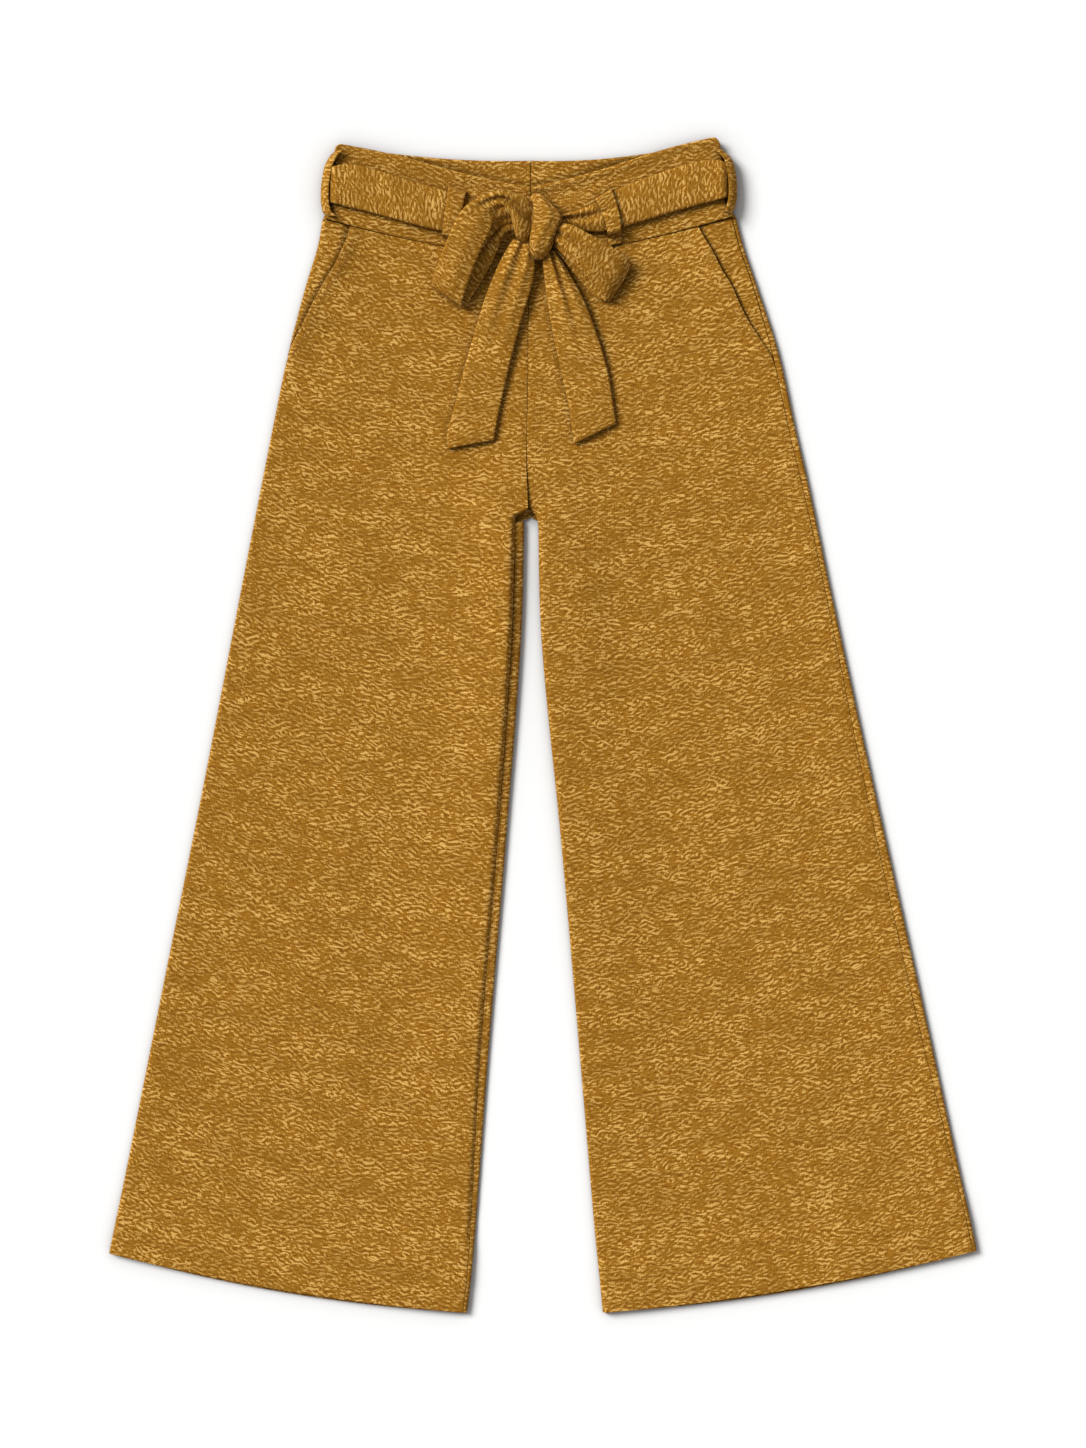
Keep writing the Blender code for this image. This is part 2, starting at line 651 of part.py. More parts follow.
def back_panel(leg, garment):
    outer_steps = FOLDED_STEPS if leg["shown_seam"] == "outer" else FLAT_STEPS
    inner_steps = INNER_FOLDED_STEPS if leg["shown_seam"] == "inner" else FLAT_STEPS
    rows = []
    levels = panel_levels(leg)
    for level in levels:
        row = leg_row(leg, level, "back")
        row["sag"] += BACK_HEM_DROP * ease(1 - level / 200.0)
        start = seam_arc(leg, row, "outer") - SEAM_GAP / 2
        outer = [ring_point(row, start - step, "outer") for step in (-GUIDE, *outer_steps)]
        inner = [inner_point(leg, row, "back", step) for step in (*reversed(inner_steps), -GUIDE)]
        rows.append(panel_row(row, outer, inner, 1, lambda s: 0.0))
    name = f"back_panel_{leg['name']}"
    return cloth_piece(name, rows, hemmed(levels), garment, outside=(0, 0, -1), guided=True)


def pocket_side(leg, garment):
    """The side piece: from the side seam to behind the pocket mouth."""
    rows = []
    for level in pocket_levels(leg):
        mouth = pocket(leg, level)
        row = leg_row(leg, level, "front")
        first = seam_arc(leg, row, "outer") + SEAM_GAP / 2
        width = mouth["mouth"] + mouth["tuck"]
        even = spread(0.0, width, 13)
        steps = [-GUIDE] + [min(pair) for pair in zip(even, FOLDED_STEPS)] + even[10:] + [width + GUIDE]
        points = []
        for step in steps:
            along, height = ring_point(row, first + step, "outer")
            hidden = ease((step - mouth["mouth"] + 9.0) / 8.0) if mouth["tuck"] > 0 else 0.0
            points.append((*in_plan(row, along), height - mouth["drop"] * hidden))
        rows.append(points)
    side = (leg["side"], 0, 0.5)
    return cloth_piece(f"pocket_side_{leg['name']}", rows, CLOTH, garment, outside=side, guided=True)


# ---- waistband ----
def band_row(side, up, centre, head_dip, foot_dip, wave):
    """One line along the waistband: `up` runs from 0 at the waist seam to 1 at the top edge."""
    level = blend(BAND_FOOT[side], BAND_HEAD[side], up)
    reach = smooth_curve(BAND_SIDE[side], level)
    outer = Vector((side * reach, level))
    inner = Vector((side * SEAM_GAP / 2, centre + BAND_HEIGHT * up))
    return {
        "outer": outer,
        "inner": inner,
        "length": (inner - outer).length,
        "sag": blend(foot_dip, head_dip, up),
        "wave": wave * up,
        "corner": HEAD_CORNER[side] * up**4,
        "low": belt_rise(above_back_seam(outer.x - side * DOUBLED, outer.y)),
        "high": band_front_top(outer.x - side * DOUBLED, outer.y),
    }


def band_in_plan(row, along):
    x, y = in_plan(row, along)
    y -= row["corner"] * max(1 - max(along, 0.0) / CORNER_REACH, 0.0) ** 2
    return x, y + row["wave"] * math.sin(2 * math.pi * along / row["length"])


def band_fold_point(row, arc):
    """Point of the waistband's side fold; past its top, a point of the front layer."""
    inward, height = round_fold(min(arc, 0.0), row["low"], row["high"])
    x, y = band_in_plan(row, inward + max(arc, 0.0))
    return x, y, band_front_top(x, y) if arc > 0 else height


def waistband_front(side, garment):
    rows = []
    for up in BAND_ROWS:
        row = band_row(side, up, FRONT_CENTRE, 0.0, FRONT_DIP, HEAD_WAVE)
        start = -math.pi * (row["high"] - row["low"]) / 4 + SEAM_GAP / 2
        points = [band_fold_point(row, start + step) for step in (-GUIDE, *BAND_STEPS)]
        for along in spread(48.0, row["length"], 6):
            x, y = band_in_plan(row, along)
            points.append((x, y, band_front_top(x, y)))
        x, y = band_in_plan(row, row["length"] + GUIDE)
        points.append((x, y, points[-1][2]))
        rows.append(points)
    name = f"waistband_front_{LEGS[side]['name']}"
    return cloth_piece(name, rows, DOUBLED, garment, guided=True)


def waistband_back(side, garment):
    rows = []
    for up in BAND_ROWS:
        row = band_row(side, up, BACK_CENTRE, BACK_HEAD_DIP[side], 0.0, 0.0)
        start = -math.pi * (row["high"] - row["low"]) / 4 - SEAM_GAP / 2
        points = [band_fold_point(row, start - step) for step in (-GUIDE, *BAND_STEPS[:6])]
        for along in spread(40.0, row["length"], 6) + [row["length"] + GUIDE]:
            x, y = band_in_plan(row, along)
            points.append((x, y, belt_rise(above_back_seam(x, y))))
        rows.append(points)
    name = f"waistband_back_{LEGS[side]['name']}"
    return cloth_piece(name, rows, DOUBLED, garment, outside=(0, 0, -1), guided=True)


# ---- belt ----
def belt_over_band(x, y):
    """Height of the belt's outer face over the front waistband."""
    return front_top(x, y) + LYING_GAP + DOUBLED


def belt_front(side, garment):
    """From under the side fold, round it and across the front to the knot."""
    stretch = table(BELT_COLUMNS, BELT_FRONT[side])
    ends = {end: [(row["reach"], row[end]) for row in stretch] for end in ("top", "bottom")}
    edge = stretch[0]["reach"]
    top_end = stretch[0]["top"]
    middle = (top_end + stretch[0]["bottom"]) / 2
    high = belt_over_band(side * (edge - 6.0), middle)
    radius = high / 2
    rows = []
    for arc in [math.pi * radius + BELT_JOIN] + spread(math.pi * radius, 0.0, 8):
        inward, height = round_fold(-arc, 0.0, high)
        reach = edge - inward
        levels = spread(smooth_curve(ends["top"], reach), smooth_curve(ends["bottom"], reach), 5)
        rows.append([(side * reach, level, height) for level in levels])
    for reach in spread(edge - radius - 6.0, stretch[-1]["reach"], 12):
        levels = spread(smooth_curve(ends["top"], reach), smooth_curve(ends["bottom"], reach), 5)
        rows.append([(side * reach, level, belt_over_band(side * reach, level)) for level in levels])
    return cloth_piece(f"belt_front_{LEGS[side]['name']}", rows, DOUBLED, garment)


def belt_back(garment):
    """Flat on the floor, under the back waistband, between the two side folds."""
    left = -(BELT_FRONT[-1][0][0] - BELT_BACK_INSET)
    right = BELT_FRONT[1][0][0] - BELT_BACK_INSET
    rows = []
    for x in spread(left, right, 13):
        along = 2 * (x - left) / (right - left) - 1
        ends = []
        for end in (0, 1):
            ends.append(smooth_curve([(side, BELT_BACK[side][end]) for side in (-1, 0, 1)], along))
        rows.append([(x, level, 0.0) for level in spread(*ends, 3)])
    return cloth_piece("belt_back", rows, DOUBLED, garment, outside=(0, 0, -1))


def belt_edge(side, reach, edge):
    """Level of the front belt's top or bottom edge."""
    stretch = table(BELT_COLUMNS, BELT_FRONT[side])
    return smooth_curve([(row["reach"], row[edge]) for row in stretch], reach)


def over_belt(side, reach, level):
    """1 on the belt and a little beyond its edges, falling to 0."""
    above = level - belt_edge(side, reach, "top") - LOOP_CLEARS["top"]
    below = belt_edge(side, reach, "bottom") - LOOP_CLEARS["foot"] - level
    return (1 - ease(above / LOOP_CLIMB)) * (1 - ease(below / LOOP_CLIMB))


def loop_front(side, garment):
    """A belt loop on the front: it climbs from the waistband onto the belt and down again."""
    loop = table(FRONT_LOOP_COLUMNS, FRONT_LOOPS[side])
    middle = (loop[1]["inner"] + loop[1]["outer"]) / 2
    top, foot = belt_edge(side, middle, "top"), belt_edge(side, middle, "bottom")
    # Each row follows the belt's edges: its share of the way up between them, and how far above that.
    lines = [(1.0, loop[0]["level"] - top)]
    lines += [(1.0, LOOP_CLEARS["top"] + run) for run in (LOOP_CLIMB, LOOP_CLIMB / 2, 0.0)]
    lines += [(share, 0.0) for share in (0.85, 0.6, 0.35, 0.1)]
    lines += [(0.0, -LOOP_CLEARS["foot"] - run) for run in (0.0, LOOP_CLIMB / 2, LOOP_CLIMB)]
    lines += [(0.0, loop[-1]["level"] - foot)]
    rows = []
    for share, above in lines:
        ends = read(loop, "level", blend(foot, top, share) + above)
        row = []
        for reach in spread(ends["inner"], ends["outer"], 3):
            y = blend(belt_edge(side, reach, "bottom"), belt_edge(side, reach, "top"), share) + above
            climb = (DOUBLED + LYING_GAP) * over_belt(side, reach, y)
            row.append((side * reach, y, front_top(side * reach, y) + LYING_GAP + climb + LOOP_THICKNESS))
        rows.append(row)
    return cloth_piece(f"belt_loop_front_{LEGS[side]['name']}", rows, LOOP_THICKNESS, garment)


def loop_side(side, garment):
    """A belt loop over the side seam: a narrow band bowed out round the belt's fold."""
    rows = []
    for level, reach in SIDE_LOOPS[side]:
        centre = reach - SIDE_LOOP_RADIUS
        row = []
        for turn in spread(*SIDE_LOOP_TURNS, 8):
            across = centre + SIDE_LOOP_RADIUS * math.cos(turn)
            row.append((side * across, level, SIDE_LOOP_MIDDLE + SIDE_LOOP_RADIUS * math.sin(turn)))
        rows.append(row)
    name = f"belt_loop_side_{LEGS[side]['name']}"
    return cloth_piece(name, rows, LOOP_THICKNESS, garment, outside=(side, 0, 0))


# ---- bow ----
def bow_knot(garment):
    """The knot: an upright barrel of rolled cloth, closed at both ends."""
    knot = table(KNOT_COLUMNS, KNOT)
    bm = bmesh.new()
    rings = []
    for place in spread(knot[0]["level"], knot[-1]["level"], 13):
        row = read(knot, "level", place)
        half_height = (row["top"] - row["floor"]) / 2
        ring = []
        for i in range(KNOT_FACETS):
            turn = 2 * math.pi * i / KNOT_FACETS
            x = row["centre"] + row["half_width"] * math.cos(turn)
            z = row["floor"] + half_height * (1 + math.sin(turn))
            ring.append(bm.verts.new(Vector((x, place, z)) * MM))
        rings.append(ring)
    for upper, lower in zip(rings, rings[1:]):
        for i in range(KNOT_FACETS):
            j = (i + 1) % KNOT_FACETS
            bm.faces.new((upper[i], upper[j], lower[j], lower[i]))
    bm.faces.new(rings[0])
    bm.faces.new(rings[-1])
    bmesh.ops.recalc_face_normals(bm, faces=bm.faces[:])
    return place_object("bow_knot", bm, garment)


def bow_loop(name, garment):
    """A loop of the bow: the belt's ribbon between its two edges, out underneath and back on top."""
    edges = table(BOW_COLUMNS, BOW_LOOPS[name])
    rows = []
    for place in spread(0.0, len(edges) - 1.0, 2 * len(edges) + 1):
        point = {
            column: smooth_curve([(i, row[column]) for i, row in enumerate(edges)], place)
            for column in edges[0]
        }
        upper = Vector((point["ax"], point["ay"], point["az"]))
        lower = Vector((point["bx"], point["by"], point["bz"]))
        rows.append([upper.lerp(lower, t) for t in spread(0.0, 1.0, 4)])
    return cloth_piece(f"bow_loop_{name}", rows, BOW_WALL, garment, judged_from=len(rows) - 5)


def belt_tail(name, garment):
    """A hanging end of the belt, lying on the front, with its end cut on a slant."""
    edges = table(TAIL_COLUMNS, TAILS[name])
    rows = []
    for place in spread(0.0, len(edges) - 1.0, 2 * len(edges) - 1):
        point = {
            column: smooth_curve([(i, row[column]) for i, row in enumerate(edges)], place)
            for column in edges[0]
        }
        row = []
        for t in spread(0.0, 1.0, 5):
            x, y = blend(point["lx"], point["rx"], t), blend(point["ly"], point["ry"], t)
            row.append((x, y, front_top(x, y) + LYING_GAP + point["loft"] + TAIL_WALL))
        rows.append(row)
    return cloth_piece(f"belt_tail_{name}", rows, TAIL_WALL, garment)


# ---- assembly ----
def centre_on_floor(pieces, garment):
    """Hangs every piece on one empty, so that the middle of the outline comes to the origin."""
    bpy.context.view_layer.update()
    corners = []
    depsgraph = bpy.context.evaluated_depsgraph_get()
    for piece in pieces:
        corners += [Vector(corner) for corner in piece.evaluated_get(depsgraph).bound_box]
    middle = [(min(c[i] for c in corners) + max(c[i] for c in corners)) / 2 for i in (0, 1)]
    base = bpy.data.objects.new("palazzo_trousers_base", None)
    base.location = (-middle[0], -middle[1], 0.0)
    garment.objects.link(base)
    for piece in pieces:
        piece.parent = base


def main():
    for old in list(bpy.data.objects):
        bpy.data.objects.remove(old)
    garment = bpy.data.collections.new("palazzo_trousers")
    bpy.context.scene.collection.children.link(garment)
    pieces = [belt_back(garment), bow_knot(garment)]
    for side in (-1, 1):
        leg = LEGS[side]
        pieces += [back_panel(leg, garment), front_panel(leg, garment), pocket_side(leg, garment)]
        pieces += [waistband_back(side, garment), waistband_front(side, garment)]
        pieces += [belt_front(side, garment), loop_front(side, garment), loop_side(side, garment)]
        pieces += [bow_loop(leg["name"], garment), belt_tail(leg["name"], garment)]
    centre_on_floor(pieces, garment)


main()
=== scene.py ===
"""Palazzo trousers with a tied belt, in a marled knit, laid flat with the front up.

Each piece that is cut and sewn is a shell of cloth of its own, lofted from the same measures as the solid
that it stands for, with finer rows, soft creases, seams that sink in, pleats at the knot and topstitching.

Sizes are in millimetres unless a name says otherwise. A "reach" is a distance from the centre seam towards
the leg's own side, a "level" is a height up the garment above the foot of the hems, and a height is
measured up from the floor. Left is -X, as the front is seen from above.
"""

import math

import bmesh
import bpy
from bpy.props import FloatProperty, FloatVectorProperty, IntProperty, PointerProperty
from bpy.types import Operator, Panel, PropertyGroup
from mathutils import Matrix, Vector, noise


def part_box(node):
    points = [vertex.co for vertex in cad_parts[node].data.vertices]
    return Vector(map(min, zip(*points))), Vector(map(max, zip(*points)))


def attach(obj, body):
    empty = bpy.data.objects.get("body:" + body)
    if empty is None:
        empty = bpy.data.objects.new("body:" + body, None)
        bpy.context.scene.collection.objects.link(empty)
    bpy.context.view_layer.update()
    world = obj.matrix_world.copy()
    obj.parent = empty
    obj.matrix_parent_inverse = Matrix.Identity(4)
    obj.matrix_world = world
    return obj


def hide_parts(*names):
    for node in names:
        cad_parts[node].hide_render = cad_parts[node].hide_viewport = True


bl_info = {
    "name": "Palazzo Trousers",
    "version": (1, 0, 0),
    "blender": (4, 5, 0),
    "location": "View3D > Sidebar > Trousers",
    "description": "Sews wide-legged trousers in a marled knit, with a tied belt, and lays them flat",
    "category": "Object",
}

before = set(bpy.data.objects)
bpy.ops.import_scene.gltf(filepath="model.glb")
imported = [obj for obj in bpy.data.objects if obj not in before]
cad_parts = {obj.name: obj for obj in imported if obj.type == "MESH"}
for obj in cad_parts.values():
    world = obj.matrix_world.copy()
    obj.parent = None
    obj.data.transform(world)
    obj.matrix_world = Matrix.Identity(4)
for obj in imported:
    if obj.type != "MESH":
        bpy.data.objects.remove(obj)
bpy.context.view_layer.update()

MM = 0.001
ROOT = "root"

# ---- cloth ----
CLOTH = 1.5  # one layer of the knit
DOUBLED = 2.6  # two pressed layers: waistband and belt
HEM_WALL = 3.0  # panel with its turn-up behind it
HEM_DEPTH = 27.0
HEM_LINE = 0.3  # how deep the turn-up's sewing presses a line into the front
HEM_LINE_WIDTH = 1.8
HEM_CLEAR = 40.0  # creases and seam rolls fade out this far above the foot
HEM_STEP = 2.5  # run over which a panel thickens to its turn-up
SEAM_GAP = 0.1  # between pieces that are sewn edge to edge
LYING_GAP = 0.5  # between pieces that lie on each other
UNDER = 1.8  # how far a hidden seam lies in under the fold

# ---- legs, row by row from the waist seam to the hem ----
LEG_COLUMNS = (
    "outer_level outer_reach front_level back_level seam_reach fold_reach "
    "outer_fold inner_fold crown seam_inset"
)
LEFT_LEG = (
    # outer          inner ends of the row         heights of the folds and middle
    (985.0, 187.8, 949.5, 973.8, 0.0, 6.0, 6.0, 5.4, 5.4, 9.0),  # waist seam
    (960.0, 192.2, 927.0, 947.0, 1.2, 6.0, 5.6, 5.1, 5.0, 9.0),  # pocket mouth
    (925.0, 202.8, 897.0, 911.0, 2.5, 6.0, 5.4, 4.9, 4.7, 9.0),  # below the waist
    (865.0, 218.4, 840.0, 846.0, 2.8, 6.0, 5.2, 5.0, 4.3, 9.0),  # hip
    (795.0, 232.9, 773.0, 775.0, 4.2, 6.0, 5.0, 7.0, 4.2, 8.6),  # seat
    (747.0, 242.4, 723.6, 723.6, 2.5, 6.0, 5.0, 12.0, 4.2, 8.0),  # fork
    (640.0, 263.2, 606.0, 606.0, 2.5, 9.0, 5.0, 11.6, 4.1, 8.4),  # thigh
    (470.0, 296.0, 425.0, 425.0, 2.5, 22.5, 5.0, 9.0, 4.0, 7.6),  # knee
    (290.0, 332.2, 240.0, 240.0, 2.5, 37.8, 5.0, 7.2, 4.0, 7.4),  # calf
    (125.0, 365.2, 73.0, 73.0, 2.5, 50.2, 5.2, 6.4, 4.4, 4.5),  # above the hem
    (83.5, 373.8, 30.0, 30.0, 2.5, 54.0, 6.8, 6.8, 6.5, 3.8),  # top of the hem
    (54.0, 379.8, 0.4, 0.4, 2.5, 57.6, 6.9, 6.9, 6.7, 3.7),  # hem edge
)
RIGHT_LEG = (
    (987.0, 184.5, 949.5, 973.8, 0.0, 6.3, 6.0, 5.4, 5.4, 3.8),  # waist seam
    (960.0, 191.2, 927.0, 947.0, -1.2, 6.3, 5.6, 5.1, 5.0, 3.4),  # pocket mouth
    (925.0, 203.2, 897.0, 911.0, -2.5, 6.3, 5.4, 4.9, 4.7, 3.3),  # below the waist
    (865.0, 222.8, 840.0, 846.0, -2.8, 6.3, 5.2, 5.0, 4.3, 5.6),  # hip
    (795.0, 238.4, 773.0, 775.0, -4.2, 6.3, 5.0, 6.4, 4.2, 6.0),  # seat
    (747.0, 249.6, 723.6, 723.6, -2.5, 6.3, 5.0, 9.0, 4.2, 5.6),  # fork
    (640.0, 272.2, 606.0, 606.0, -2.5, 9.4, 5.0, 8.4, 4.1, 5.0),  # thigh
    (470.0, 309.6, 425.0, 425.0, -2.5, 27.0, 5.0, 7.0, 4.0, 7.6),  # knee
    (290.0, 350.2, 240.0, 240.0, -2.5, 43.2, 5.0, 5.0, 4.0, 8.0),  # calf
    (126.0, 386.2, 73.0, 73.0, -2.5, 57.4, 5.2, 5.2, 4.4, 4.5),  # above the hem
    (86.0, 395.2, 30.0, 30.0, -2.5, 61.8, 6.8, 6.8, 6.5, 3.8),  # top of the hem
    (56.4, 401.4, 0.6, 0.6, -2.5, 64.6, 6.9, 6.9, 6.7, 3.7),  # hem edge
)
ROW_SAG = 7.0  # how far the middle of a row hangs below its ends
WAIST_SAG = 3.6  # the same at the waist seam
WAIST_SAG_RUN = 70.0  # run below the waist seam over which the sag grows
BACK_SAG_RUN = 20.0  # the back lies straight where its rows stand this far above the front's
BACK_HEM_DROP = 2.6  # the back hem peeps out below the front one
BACK_HEM_RUN = 200.0
OUTER_SPREAD = 22.0  # how far the roundness of a fold reaches into the panel
INNER_SPREAD = 58.0
UPPER_SIDE = 3.0  # height above which a fold's cloth faces up
UPPER_RUN = 1.2
PANEL_HEIGHT = 6.0  # usual height of the front panel over the floor
PANEL_AT_BAND = 5.7  # the same beside the waist seam
BAND_END_REACH = 176.0  # as far out as the panel is lifted to the waistband
WAIST_LIFT_RUN = 26.0  # run over which the front comes up to the waistband
WAIST_SEAM_SINK = 0.4
BAND_STEP_RUN = 3.0  # run over which the panel's height passes to the waistband's
ABOVE_WAIST = 60.0  # a level's search starts this far above the waist seam
HALVINGS = 14  # and closes in by this many halvings

# Levels, at the inner end of a row, where a panel passes from the centre seam to the leg's inner fold.
FORK_COLUMNS = "panel starts ends"
FORK = (
    ("front_left", 723.6, 717.0),
    ("back_left", 715.5, 712.5),
    ("front_right", 732.0, 700.0),
    ("back_right", 715.0, 713.0),
)

# ---- pocket mouths: width of the side piece and how far the mouth gapes ----
POCKET_COLUMNS = "level mouth gape"
LEFT_POCKET = (
    (985.0, 34.0, 0.0),
    (971.0, 32.0, 3.0),
    (960.0, 28.8, 3.2),
    (950.0, 27.2, 2.8),
    (939.0, 24.2, 2.4),
    (928.0, 21.2, 2.0),
    (906.0, 16.4, 1.5),
    (884.0, 11.8, 1.0),
    (866.0, 5.5, 0.0),
    (856.0, 0.0, 0.0),
)
RIGHT_POCKET = (
    (988.0, 31.0, 0.0),
    (974.0, 27.4, 2.4),
    (962.0, 23.8, 2.8),
    (945.0, 21.3, 2.6),
    (930.0, 17.8, 2.4),
    (908.5, 15.2, 2.2),
    (891.5, 11.2, 1.6),
    (876.0, 5.6, 0.6),
    (865.0, 1.4, 0.0),
    (859.0, 0.0, 0.0),
)
TUCK = 12.0  # side piece hidden behind the mouth
TUCK_ENDS = 885.0  # level where the tuck has run out
TUCK_FADE = 18.0
LIFT_ENDS = 857.0  # level where the panel is down on the side piece's own surface
LIFT_FADE = 10.0
LIFT_REACH = 30.0
LIFT_CLEAR = 2.0  # past the tuck, before the lift starts to fade
GAPE_REACH = 18.0
DROP_STARTS = 960.0  # the side piece sinks under the panel as they near the waist seam
DROP_FADE = 20.0
HIDDEN_FROM = 9.0  # the side piece starts to dive this far before the mouth
HIDDEN_RUN = 8.0
MOUTH_SINK = 1.6  # how far the side piece sinks along the mouth
MOUTH_SINK_AT = 1.0
MOUTH_SINK_WIDTH = 3.0
MOUTH_SINK_RUN = 1.5
MOUTH_FADE = 8.0  # mouths narrower than this are drawn more weakly
POCKET_END = {-1: 857.5, 1: 862.5}  # level at which the side piece stops

# ---- waistband ----
BAND_HEIGHT = 63.6
BAND_FOOT = {-1: 985.3, 1: 987.3}  # level of the band's lower edge at each side
BAND_HEAD = {-1: 1053.0, 1: 1059.5}
HEAD_CORNER = {-1: 4.5, 1: 7.0}  # how far the top corners are rounded down
CORNER_REACH = 6.5
CORNER_RISE = 4  # power by which the rounding grows towards the top edge
BAND_SIDE = {  # level and reach of the side fold
    -1: (
        (985.3, 187.4),
        (988.5, 185.0),
        (992.5, 182.2),
        (998.5, 179.4),
        (1017.0, 178.4),
        (1040.0, 177.4),
        (1053.0, 176.4),
    ),
    1: (
        (987.3, 184.0),
        (990.5, 181.4),
        (994.5, 178.4),
        (1000.5, 175.4),
        (1017.0, 174.6),
        (1040.0, 172.6),
        (1059.5, 170.0),
    ),
}
FRONT_CENTRE = 949.5 + SEAM_GAP  # level of the band's lower edge at the centre
BACK_CENTRE = 973.8 + SEAM_GAP
FRONT_DIP = 4.4  # how far the front's waist seam hangs between the side fold and the centre
BACK_HEAD_DIP = {-1: 5.5, 1: 7.5}  # the same for the back's top edge
HEAD_WAVE = 1.7  # the front's top edge rises beside the hip and dips towards the centre
LIP = 2.4  # roll of the band's top edge
LIP_ROUND = 1.6  # radius of the roll's edge
LIP_AT = 2.0  # the roll's highest line, down from the edge
LIP_WIDTH = 5.0
LIP_FADE = (6.0, 2.0)  # height on the side fold at which the roll starts, and its run
HOLLOW = 0.4  # dip below the roll
HOLLOW_AT = 14.0
HOLLOW_WIDTH = 4.5
BACK_LIP_SHARE = 0.8  # how much of the roll the back's top edge has
HEAD_PRESS = 2.1  # depth of the line that the front's rolled edge presses into the back
HEAD_PRESS_AT = 0.8
HEAD_PRESS_WIDTH = 2.4
SIDE_PUFF = 1.0  # roundness at the band's side folds
SIDE_PUFF_REACH = 20.0

# ---- belt ----
BELT_LOFT = 5.4  # how far the soft belt stands off the band
BELT_EDGE_LIFT = 2.6  # how far its lower edge lifts
BELT_EDGE_FROM, BELT_EDGE_RUN = 0.55, 0.4  # shares of its width over which it lifts
BELT_HEAD_LIFT = 1.0  # how far its upper edge lifts
BELT_HEAD_RUN = 0.2
BELT_LIFT_FROM, BELT_LIFT_RUN = 58.0, 20.0  # reach from which its edges lift
BELT_SETTLE = {-1: 3.6, 1: 1.4}  # how far it sinks towards the knot
BELT_SETTLE_FROM, BELT_SETTLE_RUN = 62.0, 24.0
BELT_GATHER_FROM = {-1: 58.0, 1: 80.0}  # reach from which it is gathered towards the knot
BELT_GATHER_RUN = 34.0
BELT_CROWN = 1.2
RIBBON_ROUND = 2.0  # radius of a ribbon's folded edges
RIBBON_FULL = 0.7  # the lower, the flatter its middle
RIBBON_UNEVEN = 0.5
WAVES_ACROSS = 1.6
BELT_WAVE = 15.0
BELT_SLICE = 7.0  # another place of the noise for each ribbon
BELT_COLUMNS = "reach top bottom"
BELT_FRONT = {
    -1: (
        (182.4, 1030.0, 998.4),
        (163.0, 1033.2, 994.1),
        (136.0, 1026.9, 987.3),
        (100.0, 1016.1, 977.4),
        (73.0, 1008.0, 971.1),
        (46.0, 1000.8, 965.7),
        (23.0, 997.0, 967.5),
        (-1.0, 993.4, 974.0),
    ),
    1: (
        (178.4, 1034.2, 1003.0),
        (161.0, 1037.3, 999.0),
        (134.0, 1031.4, 991.8),
        (98.0, 1018.8, 981.0),
        (76.0, 1009.8, 974.7),
        (62.0, 1000.8, 972.0),
        (44.0, 992.7, 973.4),
        (24.8, 987.4, 977.2),
    ),
}
BELT_BACK = {-1: (1030.0, 999.2), 0: (1021.0, 986.8), 1: (1034.2, 1003.8)}  # top and bottom levels
BELT_BACK_INSET = 9.7
BELT_RISE_FROM = 1.5  # height up the back band where it starts to climb over the belt
BELT_RISE_RUN = 8.5
BELT_FALL_FROM = 49.0
BELT_FALL_RUN = 14.0
BELT_FALL_SHARE = 0.4
FRONT_RISE_FROM = -17.0  # the front band climbs sooner, in one slow slope
FRONT_RISE_RUN = 24.0
FRONT_LOW = 3.4  # underside of the front band over the leg's back layer
BELT_FOLD_AT = 6.0  # how far in from its side the height of the belt's fold is read
BELT_FACE_AT = 4.0  # from the side fold to the first row of its front
BELT_JOIN = 3.0  # from the foot of the side fold to where the back stretch starts
PLEAT_COLUMNS = "height at width"
BELT_PLEATS = {  # across the belt, in shares of its width; on the right counted from the deep fold
    -1: ((1.0, 0.3, 0.16), (-1.4, 0.6, 0.1)),
    1: ((1.8, -0.22, 0.14), (-5.2, 0.0, 0.07), (2.2, 0.3, 0.2)),
}
DEEP_FOLD = (0.46, 0.36)  # where the right stretch's deep fold starts and ends, across the belt
DEEP_FOLD_FROM, DEEP_FOLD_RUN = 76.0, 46.0

# ---- belt loops ----
LOOP_THICKNESS = 1.8
LOOP_LOFT = 2.2  # how far a front loop stands off the belt
FRONT_LOOP_COLUMNS = "level inner outer"
FRONT_LOOPS = {
    -1: ((1012.6, 57.5, 74.0), (985.0, 63.0, 77.5), (958.5, 67.5, 81.0)),
    1: ((1011.8, 72.0, 57.0), (985.0, 79.5, 66.0), (960.5, 82.0, 70.0)),
}
LOOP_CLIMB = 3.0  # run over which a loop climbs onto the belt
LOOP_CLEARS = {"top": 1.6, "foot": 2.8}  # how far past the belt's edges it stays up
LOOP_INSIDE = 5.0  # past the belt's edges it stands as high as this far in
LOOP_CROWN = 0.3
LOOP_ROUND_SHARE = 0.6  # its edges are rounded less than a belt's
LOOP_OVER = (0.96, 0.04, 12)  # its rows over the belt, in shares of the belt's height
SIDE_LOOP_COLUMNS = "level reach"
SIDE_LOOPS = {
    -1: (
        (1046.0, 174.5),
        (1041.5, 180.4),
        (1033.5, 185.0),
        (1026.0, 187.0),
        (1013.0, 188.9),
        (1001.0, 189.1),
        (995.0, 188.3),
        (989.5, 186.6),
        (986.0, 182.0),
    ),
    1: (
        (1049.0, 168.5),
        (1044.0, 175.4),
        (1037.5, 181.0),
        (1030.0, 183.4),
        (1018.0, 185.1),
        (1005.0, 185.3),
        (999.0, 184.4),
        (992.0, 182.4),
        (988.5, 178.0),
    ),
}
SIDE_LOOP_RADIUS = 8.8
SIDE_LOOP_MIDDLE = 6.9  # height of the middle of its curve
SIDE_LOOP_TURNS = (math.radians(-42.0), math.radians(84.0))
